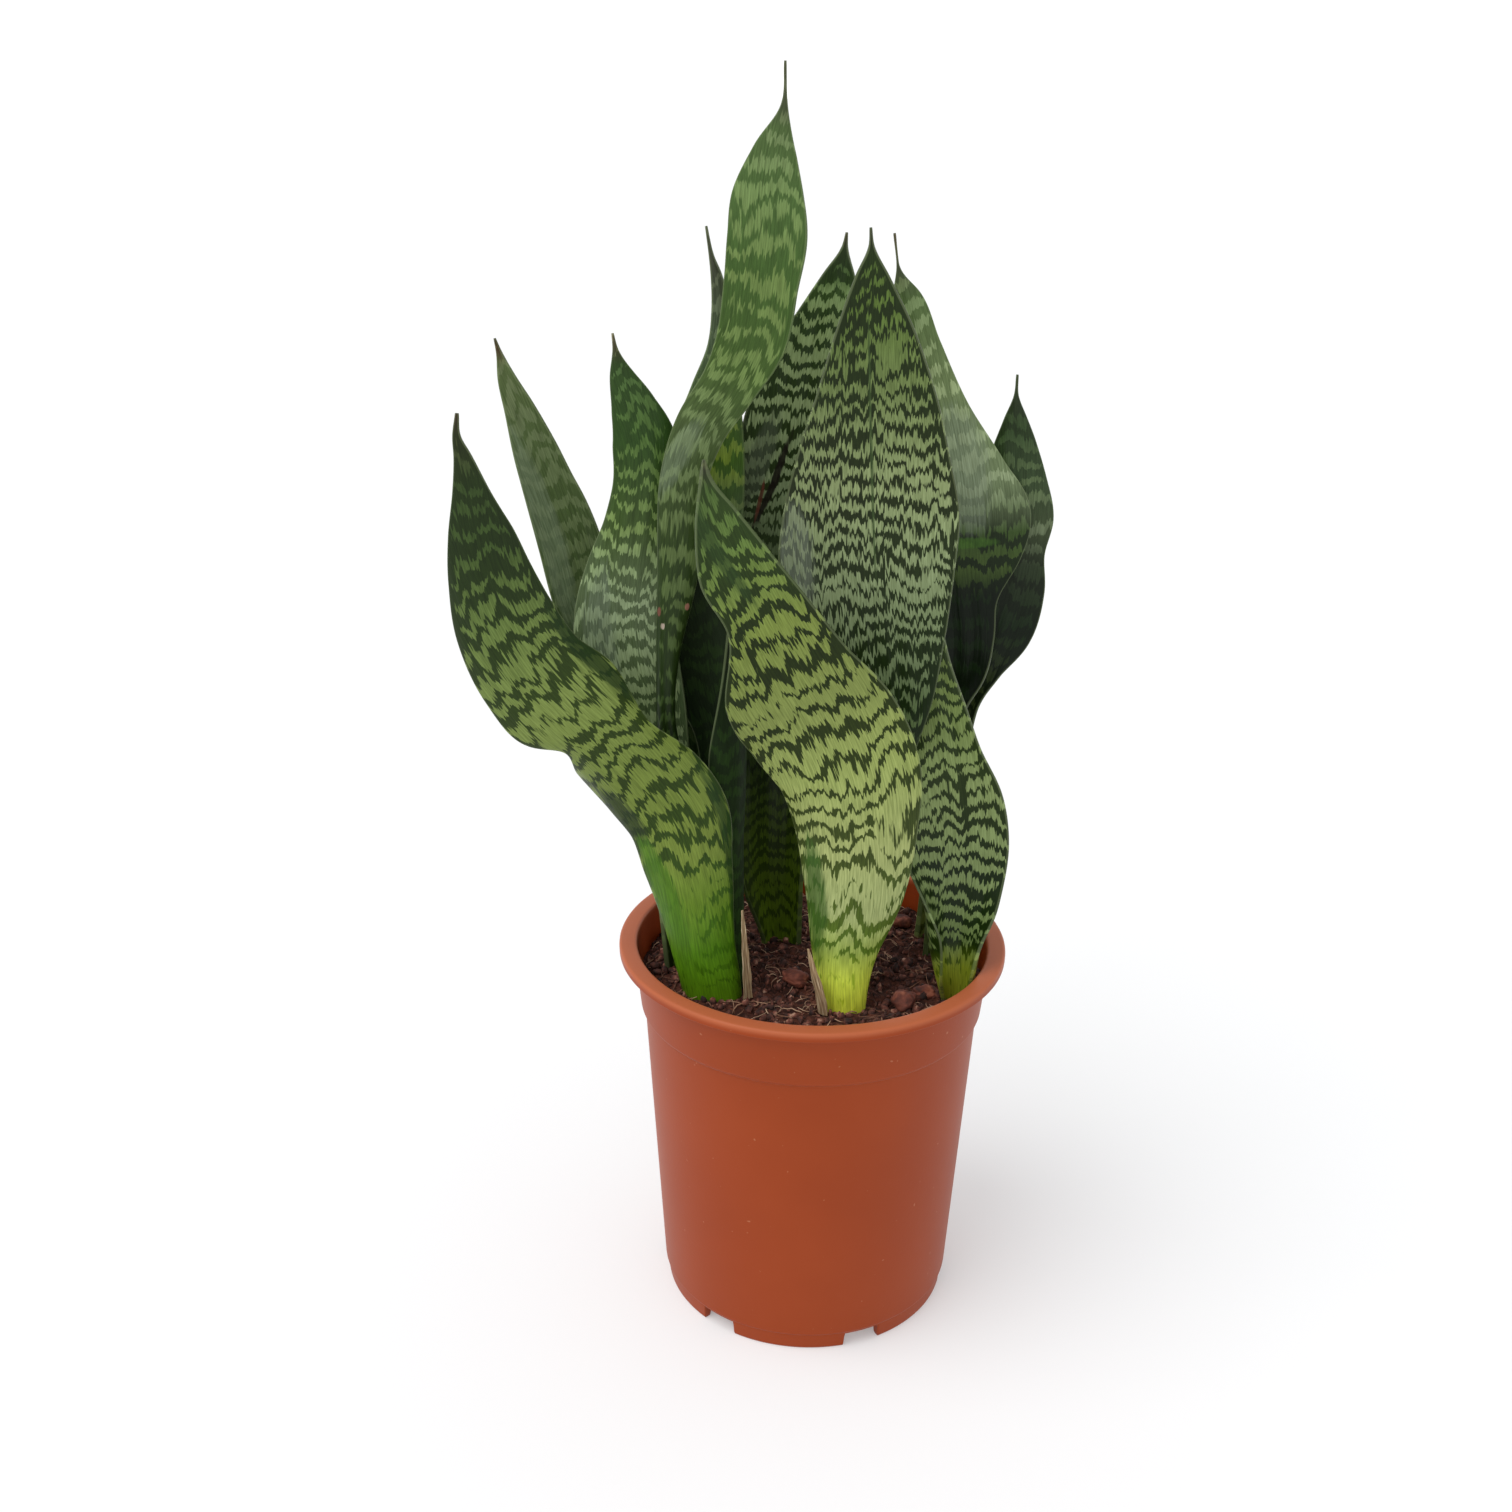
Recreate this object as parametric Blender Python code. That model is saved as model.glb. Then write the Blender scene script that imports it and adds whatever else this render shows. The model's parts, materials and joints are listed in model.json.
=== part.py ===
"""Potted snake plant: a round nursery pot with its soil, three short rhizomes and twelve sword leaves.

Lengths are in millimetres and angles in degrees until mesh_object() turns the points into metres, +Z up.
The tables count x and y from the pot's own axis. The whole plant leans to the left of its pot, so the
origin lies under the middle of the plant's box, and AXIS_X and AXIS_Y say where the pot's axis stands.
"""

import bmesh
import bpy
import math
import numpy as np

MM = 0.001
AXIS_X = 18.8
AXIS_Y = 0.0

# Driving dimensions of the pot: a 14 cm nursery pot with a flat rim and a foot ring in six lengths.
POT_HEIGHT = 141.5
RIM_RADIUS = 70.0
RIM_DEPTH = 3.4
COLLAR_BOTTOM = 116.5
FOOT_HEIGHT = 7.0
FOOT_RADIUS = 53.2
WALL = 1.3
FLOOR_THICK = 1.6
BODY_BOTTOM_RADIUS = 54.3
BODY_TOP_RADIUS = 60.9
COLLAR_BOTTOM_RADIUS = 62.3
COLLAR_TOP_RADIUS = 64.8
FOOT_GAPS = 6
FOOT_GAP_WIDTH = 13.5
FOOT_GAP_FIRST = 24.0
DRAIN_RADIUS = 4.0
DRAIN_CIRCLE = 40.0
SEGMENTS = 60

SOIL_TOP = 130.0
FIT_GAP = 0.3
LEAF_END = 104.0
RHIZOME_RADIUS = 6.0
POCKET_GROW = 0.6
POCKET_DEEPER = 2.0
ACROSS = 8
BLADE_THICK = 2.4
EDGE_SHARE = 0.3

# One row per station up each leaf: x, y, z of the middle line, the widths to its left and right measured
# along the blade, the way it faces (0 is towards -Y, positive turns to +X), and how far its left and
# right halves bend (positive towards the side it faces). The last two rows are the spine at the tip.
LEAVES = {
    "leaf_front": [
        (12.0, -34.5, 104.0, 7.0, 7.0, 0, -75, -75),
        (12.2, -35.0, 130.0, 8.8, 8.0, 0, -75, -70),
        (11.5, -35.0, 150.0, 13.0, 12.0, 0, -60, -50),
        (13.5, -35.0, 175.0, 18.5, 18.5, 0, -50, -30),
        (13.0, -35.0, 200.0, 23.0, 22.0, 0, -50, -15),
        (10.5, -35.5, 217.0, 23.5, 24.5, 0, -25, -5),
        (3.0, -36.0, 236.0, 26.5, 24.5, 0, -10, 10),
        (-7.0, -37.0, 254.0, 25.5, 19.5, 0, 10, 15),
        (-17.0, -38.0, 273.0, 13.5, 16.0, 0, 25, 25),
        (-26.0, -38.0, 290.0, 13.5, 12.0, 0, 35, 30),
        (-33.0, -38.0, 306.0, 6.8, 7.5, 0, 40, 40),
        (-36.3, -38.0, 319.0, 1.2, 1.5, 0, 40, 40),
        (-36.5, -38.0, 323.0, 0.5, 0.5, 0, 20, 20),
    ],
    "leaf_centre": [
        (13.0, -15.0, 104.0, 7.5, 7.5, 0, -60, -60),
        (13.0, -14.5, 130.0, 8.0, 8.0, 0, -60, -60),
        (14.5, -13.5, 165.0, 9.0, 9.0, 0, -50, -50),
        (17.0, -12.5, 200.0, 11.0, 12.0, 0, -30, -30),
        (19.5, -11.5, 222.0, 12.0, 15.0, 0, -10, -10),
        (20.0, -11.0, 240.0, 16.0, 19.5, 0, 10, 10),
        (18.0, -10.5, 260.0, 21.0, 24.5, 0, 20, 15),
        (15.5, -9.5, 285.0, 30.0, 29.0, 0, 25, 20),
        (15.0, -9.0, 300.0, 28.5, 30.0, 0, 25, 20),
        (14.5, -8.5, 320.0, 24.0, 26.5, 0, 30, 25),
        (14.0, -8.0, 340.0, 17.0, 21.5, 0, 30, 25),
        (13.7, -7.5, 360.0, 10.6, 14.0, 0, 30, 30),
        (13.5, -7.0, 375.0, 5.0, 6.0, 0, 30, 30),
        (13.4, -6.8, 384.0, 0.9, 0.9, 0, 20, 20),
        (13.0, -6.5, 389.5, 0.4, 0.4, 0, 20, 20),
    ],
    "leaf_right_back": [
        (46.0, 13.0, 104.0, 6.5, 6.5, 0, 60, 60),
        (48.0, 14.5, 130.0, 7.0, 7.0, 0, 60, 60),
        (48.5, 18.0, 170.0, 7.5, 7.5, 0, 60, 60),
        (48.0, 22.0, 205.0, 7.0, 7.0, 0, 60, 60),
        (47.0, 25.5, 222.0, 6.5, 7.5, 0, 60, 60),
        (47.5, 26.5, 235.0, 10.0, 13.0, 0, 40, 40),
        (47.5, 27.5, 248.0, 12.5, 15.0, 0, 20, 20),
        (46.0, 28.5, 260.0, 15.5, 17.0, 0, 10, 10),
        (44.5, 29.5, 275.0, 22.0, 26.5, 0, -10, -15),
        (43.5, 31.0, 290.0, 26.0, 30.0, 0, -20, -20),
        (41.0, 32.0, 305.0, 24.0, 23.0, 0, -20, -25),
        (36.5, 33.5, 325.0, 18.0, 14.0, 0, -25, -25),
        (30.5, 35.5, 348.0, 11.0, 8.5, 0, -25, -25),
        (26.0, 37.0, 364.0, 4.5, 5.7, 0, -25, -25),
        (24.0, 37.5, 372.0, 1.0, 1.0, 0, -20, -20),
        (22.0, 38.3, 384.5, 0.4, 0.4, 0, -20, -20),
    ],
    "leaf_far_right": [
        (42.0, 27.0, 104.0, 6.0, 6.0, 0, 60, 60),
        (45.0, 28.5, 130.0, 6.5, 6.5, 0, 60, 60),
        (48.0, 32.0, 170.0, 6.5, 6.5, 0, 50, 50),
        (51.5, 35.0, 208.0, 5.5, 5.5, 0, 50, 50),
        (53.5, 36.0, 222.0, 6.5, 6.5, 0, 40, 40),
        (57.0, 37.0, 234.0, 9.0, 10.0, 0, 30, 30),
        (62.0, 38.0, 248.0, 12.0, 15.0, 0, 15, 15),
        (66.0, 39.0, 264.0, 12.5, 14.5, 0, 10, 10),
        (67.5, 40.5, 276.0, 11.5, 12.3, 0, -10, -10),
        (68.5, 41.5, 288.0, 11.5, 14.0, 0, -20, -20),
        (68.5, 42.5, 302.0, 10.5, 10.5, 0, -20, -20),
        (68.0, 43.5, 314.0, 8.5, 6.5, 0, -20, -20),
        (67.0, 44.5, 323.0, 4.2, 3.5, 0, -20, -20),
        (66.5, 45.0, 330.0, 0.9, 0.9, 0, -20, -20),
        (66.5, 45.5, 337.5, 0.4, 0.4, 0, -20, -20),
    ],
    "leaf_right_front": [
        (47.0, -18.5, 104.0, 6.5, 6.5, 0, 80, 80),
        (51.0, -20.5, 130.0, 6.5, 6.5, 0, 90, 90),
        (50.3, -18.5, 142.0, 14.5, 12.5, 0, 130, 110),
        (50.0, -16.0, 154.0, 22.0, 14.0, 0, 140, 80),
        (51.0, -14.5, 168.0, 22.5, 15.5, 0, 100, 50),
        (50.5, -12.5, 186.0, 23.5, 17.5, 0, 60, 35),
        (49.0, -10.5, 202.0, 19.0, 15.8, 0, 45, 30),
        (46.5, -7.6, 218.0, 13.0, 10.0, 0, 15, 30),
        (43.5, -5.0, 233.0, 9.8, 7.2, 0, 0, 30),
        (41.0, -3.5, 247.0, 6.5, 4.2, 0, 0, 30),
        (37.0, -2.5, 265.0, 3.5, 3.0, 0, 30, 30),
        (34.0, -0.5, 278.0, 0.9, 0.9, 0, 20, 20),
        (33.0, 0.0, 284.0, 0.4, 0.4, 0, 20, 20),
    ],
    "leaf_tall": [
        (-36.0, -11.0, 104.0, 6.0, 6.0, 0, -70, -70),
        (-38.0, -12.0, 130.0, 6.5, 6.5, 0, -70, -70),
        (-43.0, -11.5, 165.0, 7.0, 7.0, 0, -70, -70),
        (-49.5, -10.5, 205.0, 6.0, 6.0, 0, -80, -80),
        (-51.5, -10.0, 230.0, 4.2, 3.4, 0, -80, -80),
        (-50.5, -9.0, 250.0, 4.8, 3.8, 0, -60, -60),
        (-48.5, -8.5, 270.0, 6.2, 6.4, 0, -40, -40),
        (-46.0, -7.5, 290.0, 8.5, 7.5, 0, -30, -30),
        (-44.5, -7.0, 308.0, 9.5, 6.5, 0, -40, -10),
        (-39.0, -6.5, 326.0, 9.5, 7.5, 0, -20, 0),
        (-29.5, -5.5, 341.0, 10.0, 8.5, 0, -10, 10),
        (-23.5, -5.0, 354.0, 11.5, 11.0, 0, 0, 20),
        (-20.5, -4.5, 372.0, 12.0, 12.0, 0, 0, 30),
        (-19.0, -4.0, 386.0, 12.5, 13.0, 0, -5, 30),
        (-18.5, -3.0, 398.0, 11.8, 11.0, 0, -10, 20),
        (-17.0, -2.5, 411.0, 7.0, 6.8, 0, -10, 10),
        (-14.3, -2.0, 424.5, 1.1, 1.1, 0, 0, 0),
        (-14.2, -1.5, 437.0, 0.4, 0.4, 0, 0, 0),
    ],
    "leaf_back_left_tall": [
        (-30.5, 12.0, 104.0, 5.5, 5.5, 0, 60, 60),
        (-31.2, 12.5, 130.0, 5.8, 5.8, 0, 60, 60),
        (-37.0, 16.0, 180.0, 8.0, 8.0, 0, 60, 60),
        (-42.5, 17.5, 215.0, 8.0, 6.5, 0, 50, 50),
        (-43.5, 18.0, 240.0, 10.0, 8.7, 0, 40, 40),
        (-42.5, 18.0, 262.0, 11.0, 12.0, 0, 30, 30),
        (-40.5, 17.5, 285.0, 12.0, 13.5, 0, 25, 25),
        (-39.0, 17.0, 305.0, 12.0, 12.8, 0, 20, 20),
        (-38.5, 16.5, 322.0, 11.5, 11.7, 0, 15, 15),
        (-38.0, 16.3, 336.0, 6.5, 9.5, 0, 10, 10),
        (-36.5, 16.3, 350.0, 2.5, 5.5, 0, 10, 10),
        (-35.5, 16.5, 362.0, 2.2, 3.5, 0, 10, 10),
        (-36.2, 17.0, 372.0, 1.8, 2.0, 0, 10, 10),
        (-37.7, 17.3, 378.0, 0.9, 0.9, 0, 10, 10),
        (-39.5, 17.8, 387.5, 0.4, 0.4, 0, 10, 10),
    ],
    "leaf_back_centre": [
        (-11.5, 19.5, 104.0, 7.5, 7.5, 0, 60, 60),
        (-11.5, 20.0, 130.0, 8.0, 8.2, 0, 60, 60),
        (-12.5, 20.5, 155.0, 16.0, 10.0, 0, 60, 60),
        (-12.5, 21.0, 185.0, 19.0, 11.5, 0, 50, 50),
        (-11.0, 22.5, 230.0, 20.5, 13.5, 0, 30, 40),
        (-7.0, 23.5, 260.0, 24.0, 16.0, 0, 15, 30),
        (-4.0, 24.0, 285.0, 25.5, 19.0, 0, 10, 25),
        (-3.0, 24.2, 299.0, 26.5, 20.0, 0, 15, 25),
        (-3.0, 24.2, 312.0, 26.5, 21.0, 0, 20, 25),
        (-2.5, 24.0, 325.0, 25.0, 20.0, 0, 25, 25),
        (-1.0, 24.5, 342.0, 19.0, 16.0, 0, 20, 20),
        (2.0, 25.0, 358.0, 12.2, 10.0, 0, 20, 20),
        (4.3, 25.3, 372.0, 5.7, 5.0, 0, 20, 20),
        (5.5, 25.5, 381.0, 1.0, 1.0, 0, 20, 20),
        (6.0, 25.6, 385.5, 0.4, 0.4, 0, 20, 20),
    ],
    "leaf_left_inner": [
        (-45.0, -4.0, 104.0, 6.0, 6.0, 0, 60, 60),
        (-47.0, -4.0, 130.0, 6.5, 6.5, 0, 60, 60),
        (-49.0, -3.0, 160.0, 8.0, 8.0, 0, 60, 60),
        (-54.0, -1.0, 195.0, 12.0, 12.0, 0, 40, 40),
        (-60.5, 1.0, 225.0, 16.0, 16.0, 0, 20, 20),
        (-66.5, 3.0, 258.0, 17.5, 17.0, 0, 0, 0),
        (-65.0, 4.0, 275.0, 15.3, 15.0, 0, -20, -10),
        (-62.5, 4.8, 292.0, 11.0, 12.0, 0, -25, -15),
        (-60.5, 5.5, 305.0, 9.7, 12.0, 0, -20, -15),
        (-60.3, 6.2, 320.0, 9.8, 11.5, 0, -15, -15),
        (-63.5, 6.7, 331.0, 7.0, 8.4, 0, -15, -15),
        (-67.0, 7.2, 341.0, 3.6, 4.7, 0, -15, -15),
        (-68.5, 7.5, 349.5, 0.9, 0.9, 0, -10, -10),
        (-69.3, 7.7, 354.5, 0.4, 0.4, 0, -10, -10),
    ],
    "leaf_left_back": [
        (-45.0, 10.0, 104.0, 5.0, 5.0, 0, 60, 60),
        (-46.5, 11.0, 130.0, 5.5, 5.5, 0, 60, 60),
        (-52.0, 14.0, 165.0, 7.5, 7.5, 0, 50, 50),
        (-64.0, 18.0, 205.0, 9.0, 9.0, 0, 40, 40),
        (-76.0, 21.0, 240.0, 10.5, 10.5, 0, 30, 30),
        (-83.0, 22.5, 260.0, 11.0, 11.5, 0, 25, 25),
        (-88.0, 24.5, 280.0, 11.2, 12.0, 0, 20, 20),
        (-92.0, 26.0, 292.0, 10.3, 10.9, 0, 20, 20),
        (-95.3, 27.2, 301.0, 9.3, 9.3, 0, 20, 20),
        (-99.5, 28.5, 312.0, 7.9, 8.0, 0, 20, 20),
        (-104.5, 30.0, 325.0, 5.5, 5.7, 0, 20, 20),
        (-109.0, 31.0, 336.0, 3.1, 3.3, 0, 20, 20),
        (-111.3, 31.6, 344.5, 1.0, 1.0, 0, 10, 10),
        (-112.6, 32.0, 349.0, 0.4, 0.4, 0, 10, 10),
    ],
    "leaf_left_front": [
        (-34.0, -29.0, 104.0, 9.0, 9.0, 0, -70, -70),
        (-34.5, -30.0, 130.0, 11.5, 11.5, 0, -60, -60),
        (-38.0, -30.0, 150.0, 12.5, 12.5, 0, -50, -50),
        (-43.0, -30.0, 180.0, 16.5, 16.5, 0, -40, -40),
        (-48.0, -30.0, 198.0, 17.5, 20.5, 0, -40, -40),
        (-55.5, -30.0, 210.0, 19.8, 20.0, 0, -45, -40),
        (-67.0, -30.0, 224.0, 21.0, 15.5, 0, -50, -45),
        (-73.0, -30.0, 230.5, 15.0, 17.5, 0, -30, -50),
        (-80.0, -30.0, 238.0, 23.0, 20.0, 0, -25, -50),
        (-92.0, -30.0, 252.0, 23.5, 17.2, 0, -25, -45),
        (-101.0, -30.0, 267.0, 19.8, 16.5, 0, -25, -35),
        (-106.5, -30.0, 282.0, 14.3, 14.5, 0, -25, -25),
        (-109.8, -30.0, 296.0, 9.3, 12.0, 0, -20, -20),
        (-112.0, -30.0, 310.0, 4.5, 7.3, 0, -10, -10),
        (-113.6, -30.0, 321.0, 1.8, 4.0, 0, 0, 0),
        (-114.2, -30.0, 327.5, 1.2, 1.4, 0, 0, 0),
        (-113.6, -30.0, 334.5, 0.6, 0.6, 0, 0, 0),
    ],
    "leaf_young": [
        (-25.5, -18.0, 104.0, 6.0, 6.0, -80, 100, 100),
        (-25.5, -17.5, 130.0, 6.8, 6.8, -80, 100, 100),
        (-25.7, -14.0, 145.0, 9.0, 9.0, -80, 100, 110),
        (-26.0, -9.5, 165.0, 12.0, 12.5, -80, 95, 105),
        (-26.2, -6.0, 183.0, 16.0, 15.5, -80, 90, 100),
        (-25.7, -3.5, 202.0, 20.0, 18.5, -80, 85, 100),
        (-26.0, -2.5, 218.0, 24.0, 20.0, -75, 80, 98),
        (-29.0, -1.0, 237.0, 26.0, 18.0, -65, 80, 80),
        (-30.5, 0.0, 251.0, 24.0, 15.0, -60, 70, 70),
        (-33.0, 1.0, 268.0, 18.0, 12.0, -50, 60, 50),
        (-36.0, 2.0, 284.0, 9.0, 6.5, -40, 40, 40),
        (-38.0, 2.5, 296.0, 1.0, 1.0, -30, 20, 20),
        (-38.5, 2.7, 303.0, 0.4, 0.4, -30, 20, 20),
    ],
}

# How thick each leaf is where it leaves the soil. The rolled ones are thinner.
FOOT_THICK = {"leaf_right_front": 3.6, "leaf_young": 2.4}
USUAL_FOOT_THICK = 5.6

# The rhizomes lie under the leaf bases: x and y of each one's middle line.
RHIZOMES = {
    "rhizome_left": [(-31, -30), (-30, -18), (-38, -5), (-40, 4), (-36, 13)],
    "rhizome_centre": [(10, -37), (12, -22), (8, -6), (-6, 12), (-13, 22)],
    "rhizome_right": [(44, -20), (47, -6), (47, 8), (43, 24)],
}

# The dry brown sheaths of old leaves, as stations like a leaf's, and how thick the paper is.
SHEATHS = {
    "dry_sheath_front": [
        (4.0, -37.5, 130.4, 2.6, 2.6, -45, -30, -30),
        (3.0, -38.0, 137.0, 2.4, 2.8, -45, -30, -30),
        (0.6, -38.0, 147.0, 1.6, 2.0, -45, -30, -30),
        (-1.2, -38.0, 156.0, 0.5, 0.5, -45, -30, -30),
    ],
    "dry_sheath_left": [
        (-22.4, -28.5, 130.4, 2.2, 2.4, 50, 30, 30),
        (-22.8, -28.0, 140.0, 2.0, 2.2, 50, 30, 30),
        (-23.6, -27.0, 152.0, 1.4, 1.5, 50, 30, 30),
        (-24.3, -26.0, 164.0, 0.5, 0.5, 50, 30, 30),
    ],
}
SHEATH_THICK = 0.8

# The chips of bark and fired clay lying on the soil: x, y, length, width, height and turn.
CHIPS = {
    "bark_chip_1": (33.0, -27.5, 12.0, 8.5, 5.0, 70),
    "bark_chip_2": (41.0, -20.0, 9.0, 7.0, 4.0, 20),
    "bark_chip_3": (-5.5, -14.0, 11.0, 8.0, 5.0, -30),
    "bark_chip_4": (-54.0, 18.0, 8.0, 5.5, 4.0, 75),
    "bark_chip_5": (34.0, 34.0, 9.0, 6.5, 4.5, 10),
}

LEAF_GREEN = (0.20, 0.32, 0.10, 1.0)
PALE_GREEN = (0.38, 0.47, 0.22, 1.0)
TERRACOTTA = (0.36, 0.09, 0.035, 1.0)
PEAT = (0.05, 0.025, 0.018, 1.0)
RHIZOME_CREAM = (0.55, 0.42, 0.22, 1.0)
DRY_SHEATH = (0.45, 0.33, 0.18, 1.0)
BARK = (0.24, 0.09, 0.055, 1.0)


def finish(name, colour, roughness):
    """A Principled material with one colour and roughness."""
    material = bpy.data.materials.new(name)
    material.use_nodes = True
    shader = material.node_tree.nodes["Principled BSDF"]
    shader.inputs["Base Color"].default_value = colour
    shader.inputs["Roughness"].default_value = roughness
    shader.inputs["Metallic"].default_value = 0.0
    material.diffuse_color = colour
    return material


def mesh_object(name, points, faces, material=None):
    """A mesh object from points in mm about the pot's axis, with its normals turned outwards."""
    mesh = bpy.data.meshes.new(name)
    placed = (np.asarray(points, float) + (AXIS_X, AXIS_Y, 0.0)) * MM
    mesh.from_pydata(placed.tolist(), [], faces)
    body = bmesh.new()
    body.from_mesh(mesh)
    bmesh.ops.recalc_face_normals(body, faces=body.faces)
    body.to_mesh(mesh)
    body.free()
    mesh.shade_smooth()
    mesh.set_sharp_from_angle(angle=math.radians(40))
    piece = bpy.data.objects.new(name, mesh)
    bpy.context.scene.collection.objects.link(piece)
    if material:
        mesh.materials.append(material)
    return piece


def cutter(name, points, faces):
    """A mesh object that only cuts others."""
    piece = mesh_object(name, points, faces)
    piece.hide_render = True
    piece.display_type = "WIRE"
    return piece


def cut(piece, tool):
    """Takes the tool's solid out of the piece."""
    boolean = piece.modifiers.new("cut " + tool.name, "BOOLEAN")
    boolean.operation = "DIFFERENCE"
    boolean.solver = "MANIFOLD"
    boolean.object = tool


def tube_faces(rings, count):
    """The faces of a closed tube of rings with the same count of points, capped at both ends."""
    faces = [tuple(range(count))[::-1]]
    for ring in range(rings - 1):
        low = ring * count
        for i in range(count):
            j = (i + 1) % count
            faces.append((low + i, low + j, low + count + j, low + count + i))
    faces.append(tuple((rings - 1) * count + i for i in range(count)))
    return faces


def turned(profile, segments):
    """Points and faces of a closed profile of (radius, z) turned about the axis, its ends on the axis."""
    angles = np.arange(segments) * 2 * math.pi / segments
    points = [(0.0, 0.0, profile[0][1])]
    for radius, z in profile[1:-1]:
        for a in angles:
            points.append((radius * math.sin(a), -radius * math.cos(a), z))
    points.append((0.0, 0.0, profile[-1][1]))
    last = len(points) - 1
    rows = len(profile) - 2
    faces = []
    for i in range(segments):
        j = (i + 1) % segments
        faces.append((0, 1 + j, 1 + i))
        for row in range(rows - 1):
            low = 1 + row * segments
            faces.append((low + i, low + j, low + segments + j, low + segments + i))
        top = 1 + (rows - 1) * segments
        faces.append((top + i, top + j, last))
    return points, faces


def body_radius(z):
    """The outer radius of the pot's tapered body at a height."""
    share = (z - FOOT_HEIGHT) / (COLLAR_BOTTOM - FOOT_HEIGHT)
    return BODY_BOTTOM_RADIUS + (BODY_TOP_RADIUS - BODY_BOTTOM_RADIUS) * share


def blade_rings(stations, foot_thick, grow=0.0):
    """One closed ring of points at each station of a blade.

    Each half of the section is an arc as long as the half's width that turns through its bend. The blade
    is thickest at its middle line, thins to EDGE_SHARE of that at its margins, and narrows to a spine.
    """
    rows = np.array(stations, float)
    middle = rows[:, :3]
    chord = np.concatenate([[0.0], np.cumsum(np.linalg.norm(np.diff(middle, axis=0), axis=1))])
    tangent = np.gradient(middle, chord, axis=0)
    tangent /= np.linalg.norm(tangent, axis=1)[:, None]
    face = np.radians(rows[:, 5])
    front = np.stack([np.sin(face), -np.cos(face), np.zeros(len(rows))], axis=1)
    front -= (front * tangent).sum(axis=1)[:, None] * tangent
    front /= np.linalg.norm(front, axis=1)[:, None]
    side = np.cross(tangent, front)
    share = chord / chord[-1]
    thick = BLADE_THICK + (foot_thick - BLADE_THICK) * np.clip(1 - share / 0.4, 0, 1) ** 1.5
    thick = np.minimum(thick, 0.9 * (rows[:, 3] + rows[:, 4])) + 2 * grow
    u = np.linspace(-1, 1, ACROSS + 1)
    width = np.where(u < 0, rows[:, 3:4], rows[:, 4:5]) + grow
    bend = np.radians(np.where(u < 0, rows[:, 6:7], rows[:, 7:8]))
    bend = np.where(np.abs(bend) < 1e-3, 1e-3, bend)
    turn = bend * np.abs(u)
    lateral = np.sign(u) * width * np.sin(turn) / bend
    forward = width * (1 - np.cos(turn)) / bend
    out_side = -np.sign(u) * np.sin(turn)
    out_front = np.cos(turn)
    half = thick[:, None] / 2 * (EDGE_SHARE + (1 - EDGE_SHARE) * np.sqrt(1 - u**2))
    rings = []
    for sign, order in ((1, slice(None)), (-1, slice(None, None, -1))):
        across = (lateral + sign * half * out_side)[:, order]
        along = (forward + sign * half * out_front)[:, order]
        ring = middle[:, None] + across[..., None] * side[:, None] + along[..., None] * front[:, None]
        rings.append(ring)
    return np.concatenate(rings, axis=1)


def rhizome_rings(path, grow=0.0):
    """Rings round a rhizome's path, fattest in its middle, with blunt ends."""
    path = np.array([(x, y, LEAF_END - FIT_GAP - RHIZOME_RADIUS) for x, y in path], float)
    steps = np.linspace(0, len(path) - 1, 12)
    middle = np.stack([np.interp(steps, range(len(path)), path[:, i]) for i in range(3)], axis=1)
    tangent = np.gradient(middle, axis=0)
    tangent /= np.linalg.norm(tangent, axis=1)[:, None]
    middle[0] -= tangent[0] * grow
    middle[-1] += tangent[-1] * grow
    side = np.cross(tangent, (0.0, 0.0, 1.0))
    share = np.linspace(-1, 1, len(middle))
    radius = RHIZOME_RADIUS * (0.55 + 0.45 * np.sqrt(1 - 0.9 * share**2)) + grow
    angle = np.arange(10) * 2 * math.pi / 10
    rings = middle[:, None] + radius[:, None, None] * (
        np.cos(angle)[:, None] * side[:, None] + np.sin(angle)[:, None] * np.array((0.0, 0.0, 1.0))
    )
    return rings


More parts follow.
